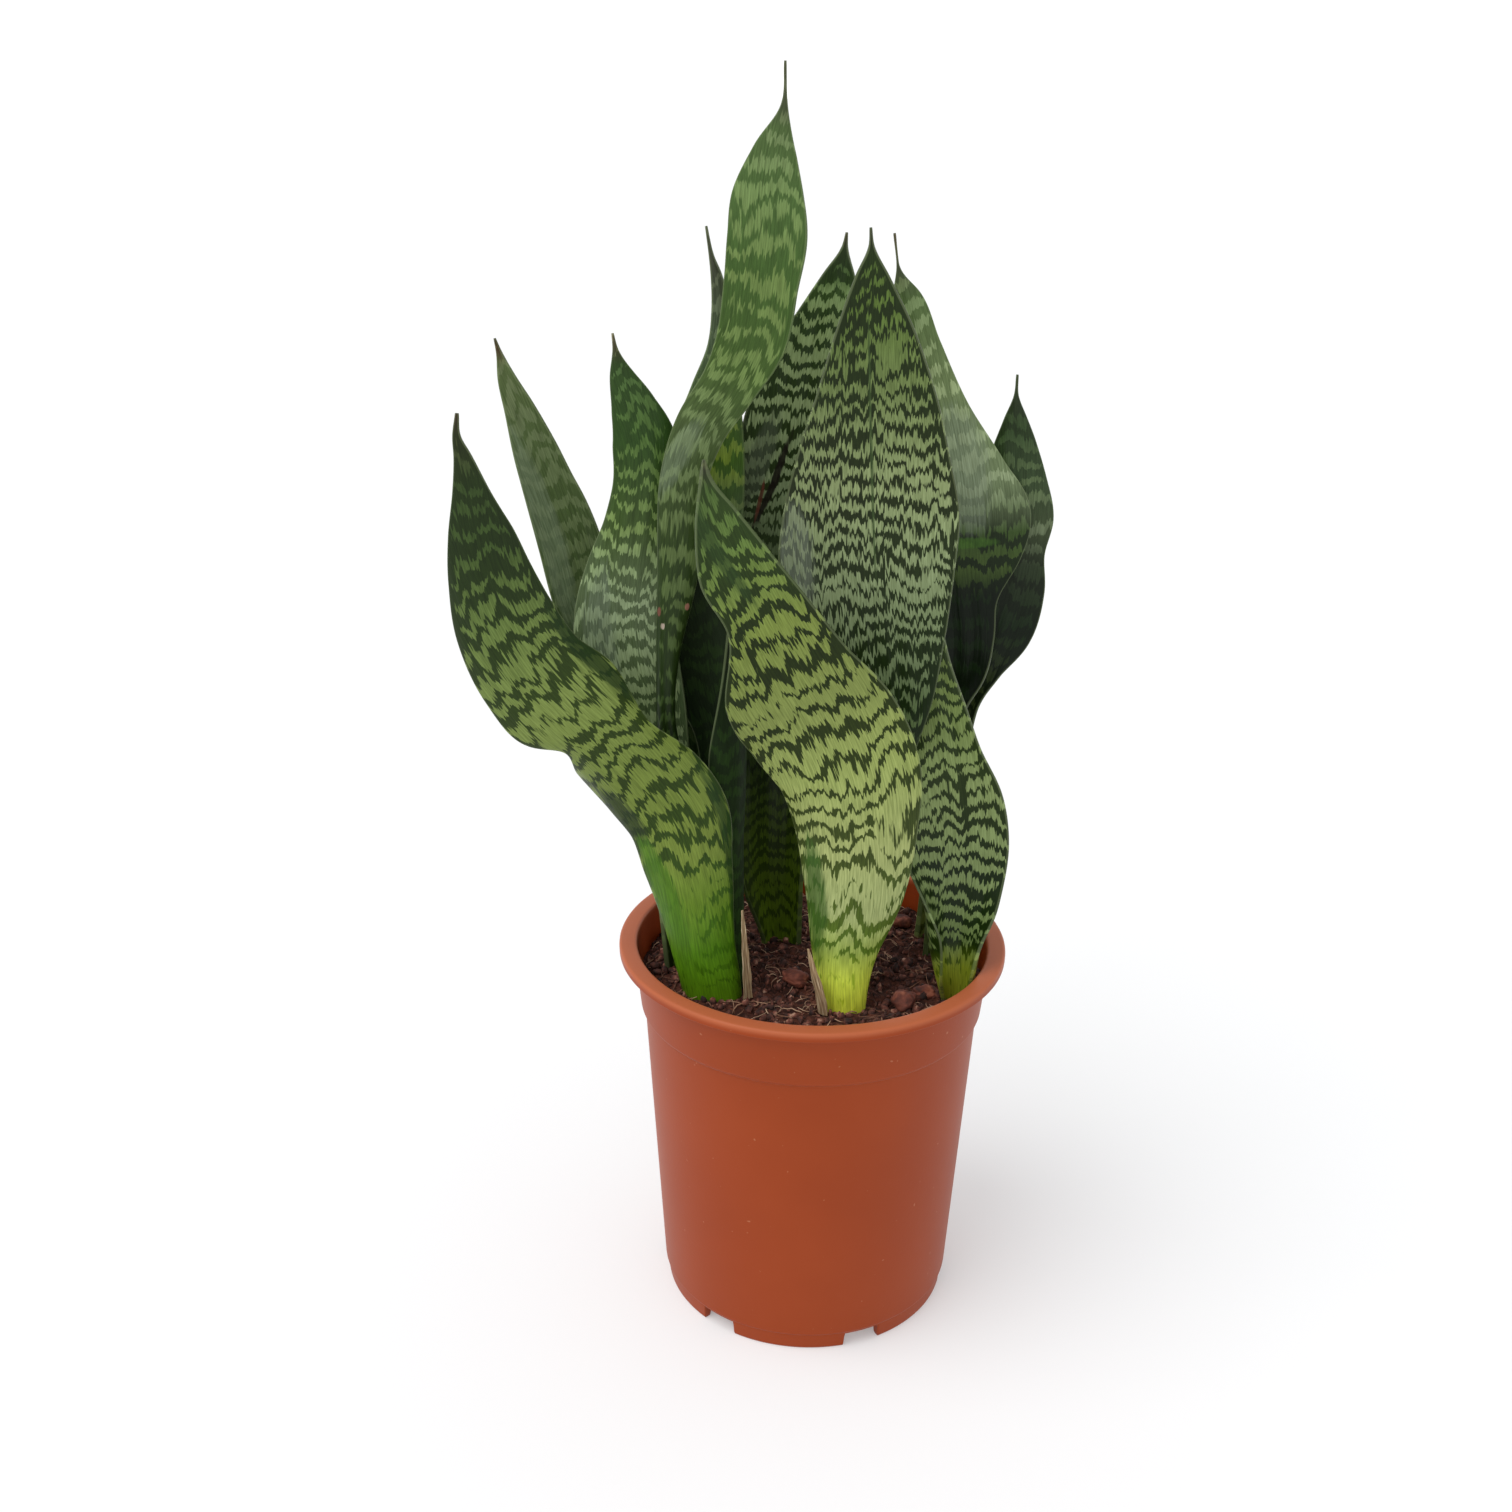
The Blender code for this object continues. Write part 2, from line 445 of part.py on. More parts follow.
def make_pot(material):
    """The pot: one turned shell, with gaps cut through its foot ring and drain holes through its floor."""
    floor_top = FOOT_HEIGHT + FLOOR_THICK
    skirt = POT_HEIGHT - RIM_DEPTH
    profile = [
        (0.0, FOOT_HEIGHT),
        (FOOT_RADIUS - 3.4, FOOT_HEIGHT),
        (FOOT_RADIUS - 3.0, 0.0),
        (FOOT_RADIUS - 1.0, 0.0),
        (FOOT_RADIUS, 1.2),
        (FOOT_RADIUS + 0.4, FOOT_HEIGHT - 0.6),
        (BODY_BOTTOM_RADIUS, FOOT_HEIGHT + 0.4),
        (body_radius(COLLAR_BOTTOM), COLLAR_BOTTOM),
        (COLLAR_BOTTOM_RADIUS, COLLAR_BOTTOM + 1.2),
        (COLLAR_TOP_RADIUS, POT_HEIGHT - 1.6),
        (RIM_RADIUS - 1.4, POT_HEIGHT - 1.6),
        (RIM_RADIUS - 1.4, skirt),
        (RIM_RADIUS - 0.4, skirt),
        (RIM_RADIUS, skirt + 0.5),
        (RIM_RADIUS, POT_HEIGHT - 0.9),
        (RIM_RADIUS - 0.9, POT_HEIGHT),
        (COLLAR_TOP_RADIUS - 0.6, POT_HEIGHT),
        (COLLAR_TOP_RADIUS - WALL, POT_HEIGHT - 0.8),
        (COLLAR_BOTTOM_RADIUS - WALL, COLLAR_BOTTOM + 0.6),
        (body_radius(COLLAR_BOTTOM) - WALL, COLLAR_BOTTOM - 0.6),
        (body_radius(floor_top + 2.0) - WALL, floor_top + 2.0),
        (body_radius(floor_top) - WALL - 2.0, floor_top),
        (0.0, floor_top),
    ]
    points, faces = turned(profile, SEGMENTS)
    pot = mesh_object("pot", points, faces, material)
    inner, outer = FOOT_RADIUS - 8.0, FOOT_RADIUS + 6.0
    half = FOOT_GAP_WIDTH / 2
    arch = [(-half, -2.0), (half, -2.0), (half, 3.6), (half - 1.2, 5.4), (1.2 - half, 5.4), (-half, 3.6)]
    for i in range(FOOT_GAPS):
        turn = math.radians(FOOT_GAP_FIRST + i * 360 / FOOT_GAPS)
        out = np.array((math.sin(turn), -math.cos(turn), 0.0))
        side = np.array((math.cos(turn), math.sin(turn), 0.0))
        ends = [[radius * out + s * side + (0, 0, z) for s, z in arch] for radius in (inner, outer)]
        gap = cutter(f"foot_gap_{i}", np.concatenate(ends), tube_faces(2, len(arch)))
        cut(pot, gap)
        angle = np.arange(12) * 2 * math.pi / 12
        rim = DRAIN_RADIUS * (np.cos(angle)[:, None] * out + np.sin(angle)[:, None] * side)
        hole = [DRAIN_CIRCLE * out + rim + (0, 0, z) for z in (FOOT_HEIGHT - 2, floor_top + 2)]
        cut(pot, cutter(f"drain_{i}", np.concatenate(hole), tube_faces(2, 12)))
    return pot


def make_soil(material):
    """The soil that fills the pot up to SOIL_TOP, with a pocket for each leaf base and rhizome."""
    bottom = FOOT_HEIGHT + FLOOR_THICK + FIT_GAP
    wall = WALL + FIT_GAP
    share = (SOIL_TOP - COLLAR_BOTTOM) / (POT_HEIGHT - COLLAR_BOTTOM)
    collar = COLLAR_BOTTOM_RADIUS + (COLLAR_TOP_RADIUS - COLLAR_BOTTOM_RADIUS) * share
    profile = [
        (0.0, bottom),
        (body_radius(bottom) - wall - 2.2, bottom),
        (body_radius(bottom + 2.0) - wall, bottom + 2.0),
        (body_radius(COLLAR_BOTTOM - 0.8) - wall, COLLAR_BOTTOM - 0.8),
        (COLLAR_BOTTOM_RADIUS - wall, COLLAR_BOTTOM + 1.0),
        (collar - wall, SOIL_TOP),
        (0.0, SOIL_TOP),
    ]
    points, faces = turned(profile, 40)
    soil = mesh_object("soil", points, faces, material)
    for name, stations in LEAVES.items():
        rings = blade_rings(stations, FOOT_THICK.get(name, USUAL_FOOT_THICK), POCKET_GROW)[:3]
        rings[0, :, 2] -= POCKET_DEEPER
        count = rings.shape[1]
        tool = cutter("pocket_" + name, rings.reshape(-1, 3), tube_faces(3, count))
        cut(soil, tool)
    for name, path in RHIZOMES.items():
        rings = rhizome_rings(path, POCKET_GROW)
        tool = cutter("pocket_" + name, rings.reshape(-1, 3), tube_faces(*rings.shape[:2]))
        cut(soil, tool)
    return soil


def make_chip(name, x, y, length, width, height, turn, material):
    """A worn chip: a low stone shape with a flat underside that rests on the soil."""
    body = bmesh.new()
    bmesh.ops.create_icosphere(body, subdivisions=2, radius=1.0)
    points = np.array([v.co for v in body.verts])
    faces = [tuple(v.index for v in f.verts) for f in body.faces]
    body.free()
    wobble = 1 + 0.12 * np.sin(3 * points[:, 0] + x) * np.cos(2 * points[:, 1] + y)
    points *= wobble[:, None]
    points[:, 2] = np.maximum(points[:, 2], -0.45)
    points[:, 2] -= points[:, 2].min()
    points *= (length / 2, width / 2, height / 1.45)
    a = math.radians(turn)
    spin = np.array([[math.cos(a), math.sin(a), 0], [-math.sin(a), math.cos(a), 0], [0, 0, 1]])
    mesh_object(name, points @ spin + (x, y, SOIL_TOP + FIT_GAP), faces, material)


def main():
    for old in list(bpy.data.objects):
        bpy.data.objects.remove(old, do_unlink=True)
    make_pot(finish("terracotta plastic", TERRACOTTA, 0.45))
    make_soil(finish("peat soil", PEAT, 0.95))
    for i, (name, stations) in enumerate(LEAVES.items()):
        rings = blade_rings(stations, FOOT_THICK.get(name, USUAL_FOOT_THICK))
        colour = [a + (b - a) * (i % 4) / 3 for a, b in zip(LEAF_GREEN, PALE_GREEN)]
        mesh_object(name, rings.reshape(-1, 3), tube_faces(*rings.shape[:2]), finish(name, colour, 0.4))
    for name, path in RHIZOMES.items():
        rings = rhizome_rings(path)
        cream = finish(name, RHIZOME_CREAM, 0.6)
        mesh_object(name, rings.reshape(-1, 3), tube_faces(*rings.shape[:2]), cream)
    for name, stations in SHEATHS.items():
        rings = blade_rings(stations, SHEATH_THICK)
        brown = finish(name, DRY_SHEATH, 0.8)
        mesh_object(name, rings.reshape(-1, 3), tube_faces(*rings.shape[:2]), brown)
    for name, sizes in CHIPS.items():
        make_chip(name, *sizes, finish(name, BARK, 0.85))


main()
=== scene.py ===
"""Potted snake plant: the looks of the pot, the soil and the leaves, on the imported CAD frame.

Lengths in the tables are millimetres from the pot's own axis, +Z up from the plane the pot stands on, and
angles are degrees. place() turns them into the frame's metres.
"""

import json
import math

import bpy
import numpy as np
from mathutils import Matrix, Vector

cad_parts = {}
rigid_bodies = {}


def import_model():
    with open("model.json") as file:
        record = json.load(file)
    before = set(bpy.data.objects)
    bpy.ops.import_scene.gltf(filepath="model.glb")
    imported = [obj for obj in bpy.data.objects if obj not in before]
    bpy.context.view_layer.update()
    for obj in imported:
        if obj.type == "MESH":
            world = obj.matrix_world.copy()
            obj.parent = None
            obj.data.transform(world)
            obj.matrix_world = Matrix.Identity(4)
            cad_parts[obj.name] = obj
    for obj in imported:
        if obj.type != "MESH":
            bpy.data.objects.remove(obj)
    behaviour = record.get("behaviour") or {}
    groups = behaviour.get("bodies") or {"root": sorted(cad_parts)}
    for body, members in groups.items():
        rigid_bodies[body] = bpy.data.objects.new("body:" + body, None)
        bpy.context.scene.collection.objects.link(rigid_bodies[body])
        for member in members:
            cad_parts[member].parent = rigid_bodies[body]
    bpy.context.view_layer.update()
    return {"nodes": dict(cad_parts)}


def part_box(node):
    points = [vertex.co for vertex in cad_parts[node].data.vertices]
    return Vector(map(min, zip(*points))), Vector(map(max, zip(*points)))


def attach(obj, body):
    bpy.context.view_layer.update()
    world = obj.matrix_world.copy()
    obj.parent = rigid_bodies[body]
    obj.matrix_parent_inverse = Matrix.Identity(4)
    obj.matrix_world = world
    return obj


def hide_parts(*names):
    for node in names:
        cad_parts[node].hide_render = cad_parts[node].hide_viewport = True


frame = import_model()


# ------------------------------
# Where things stand. The pot is round, so the middle of its box is its axis, and its foot is the plane that
# the heights are counted from.
pot_low, pot_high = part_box("pot")
AXIS = np.array([(pot_low.x + pot_high.x) / 2, (pot_low.y + pot_high.y) / 2, pot_low.z])
METRES = 0.001


def place(points):
    """Millimetres about the pot's axis to metres in the frame."""
    return np.asarray(points, float) * METRES + AXIS


# ------------------------------
# The camera looks slightly down at the plant from the front, from a little above the middle of its height,
# as a person standing at a bench does. A 41 mm lens on a 36 mm frame takes in the whole plant.
CAMERA_AT = (0.0, -560.03, 430.10)
CAMERA_LOOK = (-0.034946, 0.930845, -0.363739)
CAMERA_RIGHT = (0.999111, 0.041130, 0.009267)
LENS = 40.93
FILM = 36.0

camera_data = bpy.data.cameras.new("bench camera")
camera_data.sensor_width = FILM
camera_data.lens = LENS
camera_data.clip_start = 0.01
camera = bpy.data.objects.new("bench camera", camera_data)
bpy.context.scene.collection.objects.link(camera)
look, right = np.array(CAMERA_LOOK), np.array(CAMERA_RIGHT)
right -= look * (right @ look) / (look @ look)
look /= np.linalg.norm(look)
right /= np.linalg.norm(right)
turn = Matrix([[right[i], np.cross(right, look)[i], -look[i]] for i in range(3)])
camera.matrix_world = Matrix.Translation(place(CAMERA_AT).tolist()) @ turn.to_4x4()
bpy.context.scene.camera = camera


# ------------------------------
# The floor and the light: a wide white floor under a dome that is brightest at the horizon, so that the two
# meet unseen, and one wide soft light high at the front left, so that the shadow falls to the right.
FLOOR_REACH = 60000.0
FLOOR_GLOW = 0.29
DOME_STRENGTH = 1.25
LIGHT_ENERGY = 1.65
LIGHT_WIDTH = 50.0
LIGHT_FROM = (-0.45, -0.30, 0.84)


def linear(code):
    """The linear RGBA of an sRGB hex colour."""
    srgb = np.array([int(code[i : i + 2], 16) for i in (1, 3, 5)]) / 255
    rgb = np.where(srgb <= 0.04045, srgb / 12.92, ((srgb + 0.055) / 1.055) ** 2.4)
    return (*rgb.tolist(), 1.0)


def add_node(tree, kind, sockets=None, stops=None, **settings):
    """Adds a shader node with its settings, the ramp's stops, and its sockets' values or links."""
    made = tree.nodes.new("ShaderNode" + kind)
    for key, value in settings.items():
        setattr(made, key, value)
    if stops:
        while len(made.color_ramp.elements) < len(stops):
            made.color_ramp.elements.new(1.0)
        for element, (position, colour) in zip(made.color_ramp.elements, stops):
            element.position = position
            element.color = linear(colour)
    for key, value in (sockets or {}).items():
        if isinstance(value, bpy.types.NodeSocket):
            tree.links.new(value, made.inputs[key])
        else:
            made.inputs[key].default_value = value
    return made


def ramp(tree, factor, *stops):
    """The colour at that factor between (position, sRGB hex) stops."""
    return add_node(tree, "ValToRGB", {"Fac": factor}, stops=stops).outputs["Color"]


def new_material(name, **sockets):
    """A Principled material with its constant sockets set. Returns it, its tree and its shader."""
    material = bpy.data.materials.new(name)
    material.use_nodes = True
    shader = material.node_tree.nodes["Principled BSDF"]
    for key, value in sockets.items():
        shader.inputs[key.replace("_", " ").title().replace("Ior", "IOR")].default_value = value
    return material, material.node_tree, shader


def mesh_piece(name, points, faces, material, uv=None):
    """A smooth-shaded mesh object from millimetre points. uv holds one pair for each point."""
    mesh = bpy.data.meshes.new(name)
    mesh.from_pydata(place(points).tolist(), [], [list(face) for face in faces])
    mesh.shade_smooth()
    mesh.materials.append(material)
    if uv is not None:
        corner = np.empty(len(mesh.loops), np.int32)
        mesh.loops.foreach_get("vertex_index", corner)
        layer = mesh.uv_layers.new(name="blade")
        layer.data.foreach_set("uv", np.asarray(uv, np.float32)[corner].ravel())
    piece = bpy.data.objects.new(name, mesh)
    bpy.context.scene.collection.objects.link(piece)
    return piece


sweep, tree, shader = new_material("matt white paper", roughness=0.9, specular_ior_level=0.0)
shader.inputs["Base Color"].default_value = linear("#D0D0D0")
shader.inputs["Emission Color"].default_value = linear("#FFFFFF")
shader.inputs["Emission Strength"].default_value = FLOOR_GLOW
corners = FLOOR_REACH * np.array([(-1, -1, 0), (1, -1, 0), (1, 1, 0), (-1, 1, 0)])
floor = mesh_piece("floor", corners, [(0, 1, 2, 3)], sweep)

world = bpy.data.worlds.new("white dome")
bpy.context.scene.world = world
world.use_nodes = True
toward = add_node(world.node_tree, "TexCoord").outputs["Generated"]
height = add_node(world.node_tree, "SeparateXYZ", {"Vector": toward}).outputs["Z"]
dome = ramp(world.node_tree, height, (0.0, "#FFFFFF"), (0.12, "#FFFFFF"), (0.6, "#BFC1C3"))
background = world.node_tree.nodes["Background"]
world.node_tree.links.new(dome, background.inputs["Color"])
background.inputs["Strength"].default_value = DOME_STRENGTH
softbox = bpy.data.lights.new("wide soft light", "SUN")
softbox.energy = LIGHT_ENERGY
softbox.angle = math.radians(LIGHT_WIDTH)
lamp = bpy.data.objects.new("wide soft light", softbox)
lamp.rotation_euler = Vector(LIGHT_FROM).to_track_quat("Z", "Y").to_euler()
bpy.context.scene.collection.objects.link(lamp)
bpy.context.scene.view_settings.view_transform = "Standard"


# ------------------------------
# The pot: one injection-moulded polypropylene shell in terracotta red, with a flat rim turned down to a
# skirt, a collar under it, a tapered body and a foot ring in six lengths with arched gaps between them.
POT_HEIGHT = 141.5
RIM_RADIUS = 70.0
RIM_THICK = 1.7
SKIRT_DEPTH = 3.4
COLLAR_BOTTOM = 116.5
COLLAR_RADII = (62.3, 64.8)
BODY_RADII = (54.3, 60.9)
FOOT_HEIGHT = 7.0
FOOT_RADIUS = 53.2
FOOT_RING = 3.0
FOOT_DRAFT = 0.3
WALL = 1.3
FLOOR_TOP = 8.6
FLOOR_CENTRE = 2.0
GAP_COUNT = 6
FIRST_GAP = 24.0
GAP_LENGTH = 13.5
GAP_HEIGHT = 5.4
GAP_CORNER = 0.9
DRAIN_RING = 40.0
DRAIN_RADIUS = 4.0
DRAIN_SIDES = 24
PALE_RIM_DEPTH = 2.7


def capped(rows, columns):
    """The quads of a grid of that many rings, row after row and closed round, and a flat at each end."""
    row = np.arange(rows - 1)[:, None] * columns
    column = np.arange(columns)[None]
    beside = (column + 1) % columns
    quads = np.stack([row + column, row + beside, row + columns + beside, row + columns + column], axis=-1)
    last = (rows - 1) * columns
    ends = [list(range(columns))[::-1], list(range(last, last + columns))]
    return quads.reshape(-1, 4).tolist() + ends


def rounded(corners, steps=5):
    """A smooth profile from (radius, z, rounding) corners: each corner is a parabola that long each way."""
    corners = np.array(corners, float)
    t = np.linspace(0, 1, steps)[:, None]
    out = [corners[:1, :2]]
    for before, here, after in zip(corners[:-2], corners[1:-1], corners[2:]):
        back, ahead = before[:2] - here[:2], after[:2] - here[:2]
        start = here[:2] + back / np.linalg.norm(back) * min(here[2], np.linalg.norm(back) / 2)
        end = here[:2] + ahead / np.linalg.norm(ahead) * min(here[2], np.linalg.norm(ahead) / 2)
        out.append((1 - t) ** 2 * start + 2 * t * (1 - t) * here[:2] + t**2 * end)
    out.append(corners[-1:, :2])
    return np.concatenate(out)


def turned(profile, angles):
    """A profile of (radius, z) turned about the axis, a ring for each of its points.

    A point at angle a stands at x = r sin a, y = -r cos a.
    """
    r, z = profile[:, 0], profile[:, 1]
    x, y = np.sin(angles), -np.cos(angles)
    return np.stack([r * x[:, None], r * y[:, None], z + 0 * x[:, None]], axis=-1).transpose(1, 0, 2)


def object_noise(tree, scale, detail, **more):
    """A noise on the piece's own place, that many spots to the metre."""
    own_place = add_node(tree, "TexCoord").outputs["Object"]
    sockets = {"Vector": own_place, "Scale": scale, "Detail": detail, **more}
    return add_node(tree, "TexNoise", sockets).outputs["Fac"]


def roughen(tree, shader, height, strength, depth):
    """Raises the surface by that height, up to that depth in metres."""
    bump = add_node(tree, "Bump", {"Height": height, "Strength": strength, "Distance": depth})
    tree.links.new(bump.outputs["Normal"], shader.inputs["Normal"])


def mixed(tree, share, first, second, blend="MIX"):
    """The second colour over the first, by that share."""
    sockets = {0: share, 6: first, 7: second}
    return add_node(tree, "Mix", sockets, data_type="RGBA", blend_type=blend).outputs[2]


slope = (BODY_RADII[1] - BODY_RADII[0]) / (COLLAR_BOTTOM - FOOT_HEIGHT)
profile = rounded(
    [
        (FLOOR_CENTRE, FOOT_HEIGHT, 0),
        (FOOT_RADIUS - FOOT_RING - 0.4, FOOT_HEIGHT, 0.5),
        (FOOT_RADIUS - FOOT_RING, 0.0, 0.5),
        (FOOT_RADIUS - FOOT_DRAFT, 0.0, 0.9),
        (FOOT_RADIUS + FOOT_DRAFT, FOOT_HEIGHT - 0.7, 0.3),
        (BODY_RADII[0], FOOT_HEIGHT + 0.2, 0.5),
        (BODY_RADII[1], COLLAR_BOTTOM - 0.6, 0.4),
        (COLLAR_RADII[0], COLLAR_BOTTOM + 0.6, 0.8),
        (COLLAR_RADII[1], POT_HEIGHT - RIM_THICK, 0.6),
        (RIM_RADIUS - WALL, POT_HEIGHT - RIM_THICK, 0.5),
        (RIM_RADIUS - WALL, POT_HEIGHT - SKIRT_DEPTH, 0.3),
        (RIM_RADIUS - 0.1, POT_HEIGHT - SKIRT_DEPTH, 0.4),
        (RIM_RADIUS, POT_HEIGHT, 1.3),
        (COLLAR_RADII[1] - WALL, POT_HEIGHT, 1.2),
        (COLLAR_RADII[0] - WALL, COLLAR_BOTTOM, 0.8),
        (BODY_RADII[1] - WALL, COLLAR_BOTTOM - 1.0, 0.8),
        (BODY_RADII[0] - WALL + 2 * slope, FLOOR_TOP, 3.0),
        (FLOOR_CENTRE, FLOOR_TOP, 0),
    ]
)
# The foot ring is lifted to an arch in each gap, with more rings of points where an arch starts and ends.
gap_middles = np.radians(FIRST_GAP + 360.0 / GAP_COUNT * np.arange(GAP_COUNT))
gap_half = GAP_LENGTH / 2 / FOOT_RADIUS
ends = np.concatenate([gap_middles - gap_half, gap_middles + gap_half])
near_ends = (ends[:, None] + np.linspace(-GAP_CORNER, GAP_CORNER, 9) / FOOT_RADIUS).ravel() % (2 * np.pi)
angles = np.unique(np.concatenate([np.linspace(0, 2 * np.pi, 360, endpoint=False), near_ends]))
shell = turned(profile, angles)
off = np.abs((angles[:, None] - gap_middles + np.pi) % (2 * np.pi) - np.pi).min(axis=1)
arch = GAP_HEIGHT * np.clip((gap_half - off) * FOOT_RADIUS / 0.5 + 0.5, 0, 1) ** 0.5
in_foot = shell[..., 2] < FOOT_HEIGHT - 0.8
shell[..., 2] = np.where(in_foot, np.maximum(shell[..., 2], arch), shell[..., 2])

# The plastic is faintly clouded and specked, and the flat rim is painted paler: partly rubbed by handling,
# partly a painted highlight where the light falls on its top.
plastic, tree, shader = new_material("moulded polypropylene", roughness=0.45, specular_ior_level=0.18)
tone = ramp(tree, object_noise(tree, 22.0, 3.0), (0.3, "#8F380E"), (0.7, "#953C12"))
speck = ramp(tree, object_noise(tree, 420.0, 1.0), (0.77, "#000000"), (0.82, "#FFFFFF"))
specked = mixed(tree, speck, tone, linear("#A86444"))
own_place = add_node(tree, "TexCoord").outputs["Object"]
height = add_node(tree, "SeparateXYZ", {"Vector": own_place}).outputs["Z"]
rim_from, rim_to = (POT_HEIGHT - PALE_RIM_DEPTH) * METRES, (POT_HEIGHT - 0.1) * METRES
# The band at the top of the rim is mixed toward a paler red: a painted highlight on the lit top, with some
# rubbing.
rubbed_and_lit = {"Value": height, "From Min": rim_from, "From Max": rim_to, "To Max": 0.55}
rubbed_and_lit = add_node(tree, "MapRange", rubbed_and_lit, interpolation_type="SMOOTHSTEP").outputs["Result"]
tree.links.new(mixed(tree, rubbed_and_lit, specked, linear("#C0704C")), shader.inputs["Base Color"])
roughen(tree, shader, object_noise(tree, 900.0, 2.0), 0.06, 0.0004)

pot = mesh_piece("nursery_pot", shell.reshape(-1, 3), capped(*shell.shape[:2]), plastic)
drill_profile = np.array([(DRAIN_RADIUS, FOOT_HEIGHT - 3.0), (DRAIN_RADIUS, FLOOR_TOP + 3.4)])
hole = turned(drill_profile, np.linspace(0, 2 * np.pi, DRAIN_SIDES, endpoint=False)).reshape(-1, 3)
for middle in gap_middles:
    spot = np.array([DRAIN_RING * math.sin(middle), -DRAIN_RING * math.cos(middle), 0.0])
    drill = mesh_piece("drill", hole + spot, capped(2, DRAIN_SIDES), plastic)
    cut = pot.modifiers.new("drain", "BOOLEAN")
    cut.solver = "MANIFOLD"
    cut.object = drill
drilled = pot.evaluated_get(bpy.context.evaluated_depsgraph_get())
pot.data = bpy.data.meshes.new_from_object(drilled)
pot.modifiers.clear()
for drill in [other for other in bpy.data.objects if other.name.startswith("drill")]:
    bpy.data.objects.remove(drill)
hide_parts("pot")
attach(pot, "root")


# ------------------------------
# The soil: damp reddish peat with coir, sunk a finger's width below the rim. Its top is a lumpy crust with
# crumbs and short pale fibres lying on it, and it drops a little where it meets the pot's wall.
SOIL_TOP = 130.0
CRUST_RADIUS = 62.0
CRUST_RINGS = 160
CRUST_TURNS = 320
CRUMB_COUNT = 2600
CRUMB_SPREAD = 61.0
FIBRE_COUNT = 420
FIBRE_SPREAD = 60.0
FIBRE_POINTS = 7
FIBRE_SIDES = 4
LATTICE = 64


def lumps(x, y, size, seed):
    """Smooth random heights from -1 to 1: a lattice of random values that far apart, eased between them."""
    lattice = np.random.default_rng(seed).uniform(-1, 1, (LATTICE, LATTICE))
    column, row = x / size + (LATTICE - 1) / 2, y / size + (LATTICE - 1) / 2
    i, j = np.floor(column).astype(int) % (LATTICE - 1), np.floor(row).astype(int) % (LATTICE - 1)
    s, t = column - np.floor(column), row - np.floor(row)
    s, t = s * s * (3 - 2 * s), t * t * (3 - 2 * t)
    low = lattice[j, i] * (1 - s) + lattice[j, i + 1] * s
    high = lattice[j + 1, i] * (1 - s) + lattice[j + 1, i + 1] * s
    return low * (1 - t) + high * t


def soil_height(x, y):
    """The crust's height: lumps of four sizes, and a fall over the last 4 mm to the wall."""
    height = 1.5 * lumps(x, y, 17.0, 1) + 1.1 * lumps(x, y, 6.0, 2)
    height += 0.7 * np.abs(lumps(x, y, 2.6, 3)) + 0.35 * lumps(x, y, 1.1, 4)
    return SOIL_TOP - 0.6 + height - 2.0 * np.clip((np.hypot(x, y) - 56.5) / 4.0, 0, 1)


# The crust's rings run out from the middle. Then the soil follows the pot's wall down to its floor.
down_the_wall = [(62.2, 126.0), (60.2, 117.0), (58.6, 104.0), (52.9, 13.5), (50.0, 8.9), (2.0, 8.9)]
down_the_wall = np.array(down_the_wall)
turns = np.linspace(0, 2 * np.pi, CRUST_TURNS, endpoint=False)
radii = np.concatenate([np.linspace(0.05, CRUST_RADIUS, CRUST_RINGS), down_the_wall[:, 0]])
crust_x, crust_y = radii[:, None] * np.sin(turns), -radii[:, None] * np.cos(turns)
crust_z = soil_height(crust_x, crust_y)
crust_z[CRUST_RINGS:] = down_the_wall[:, 1:]
crust = np.stack([crust_x, crust_y, crust_z], axis=-1)[::-1]
peat, tree, shader = new_material("damp peat and coir", roughness=0.9, specular_ior_level=0.25)
clods = object_noise(tree, 260.0, 6.0, Roughness=0.7)
brown = ramp(tree, clods, (0.30, "#1D0D09"), (0.45, "#351A11"), (0.58, "#532C1F"), (0.75, "#7F513D"))
tree.links.new(brown, shader.inputs["Base Color"])
roughen(tree, shader, clods, 0.7, 0.0012)
soil = mesh_piece("peat_soil", crust.reshape(-1, 3), capped(*crust.shape[:2]), peat)
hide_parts("soil")
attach(soil, "root")


def scatter(name, shapes, faces, material):
    """Many copies of a small shape as one object. shapes is (copies, points, 3), faces those of one."""
    copies, count = shapes.shape[:2]
    starts = range(0, copies * count, count)
    every = [[start + corner for corner in face] for start in starts for face in faces]
    piece = mesh_piece(name, shapes.reshape(-1, 3), every, material)
    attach(piece, "root")


def spread(radius, count):
    """Random spots, even over a disc: the root of a uniform share times the radius, at any bearing."""
    reach, bearing = radius * np.sqrt(chance.uniform(0, 1, count)), chance.uniform(0, 2 * np.pi, count)
    return reach * np.cos(bearing), reach * np.sin(bearing)


def ball(around=7, rows=5):
    """A unit ball as rings of points, its poles closed by small flats, and its faces."""
    theta = np.linspace(0.3 / rows, np.pi - 0.3 / rows, rows)[:, None]
    phi = np.arange(around) * 2 * np.pi / around
    ring = np.sin(theta)
    points = np.stack([ring * np.cos(phi), ring * np.sin(phi), -np.cos(theta) + 0 * phi], -1)
    return points.reshape(-1, 3), capped(rows, around)


# The crumbs of peat and grit, 0.5 to 4.5 mm across, each a squashed lumpy ball.
chance = np.random.default_rng(11)
crumb_x, crumb_y = spread(CRUMB_SPREAD, CRUMB_COUNT)
unit, unit_faces = ball()
size = 0.4 + 1.3 * chance.uniform(0, 1, CRUMB_COUNT) ** 3
stretch = size[:, None, None] * chance.uniform(0.6, 1.4, (CRUMB_COUNT, 1, 3))
knobs = 1 + 0.25 * chance.uniform(-1, 1, (CRUMB_COUNT, len(unit), 1))
shapes = unit * stretch * knobs
shapes += np.stack([crumb_x, crumb_y, soil_height(crumb_x, crumb_y) + 0.3 * size], axis=-1)[:, None]
grit, tree, shader = new_material("crumbs of peat and grit", roughness=0.85)
sort = object_noise(tree, 330.0, 2.0)
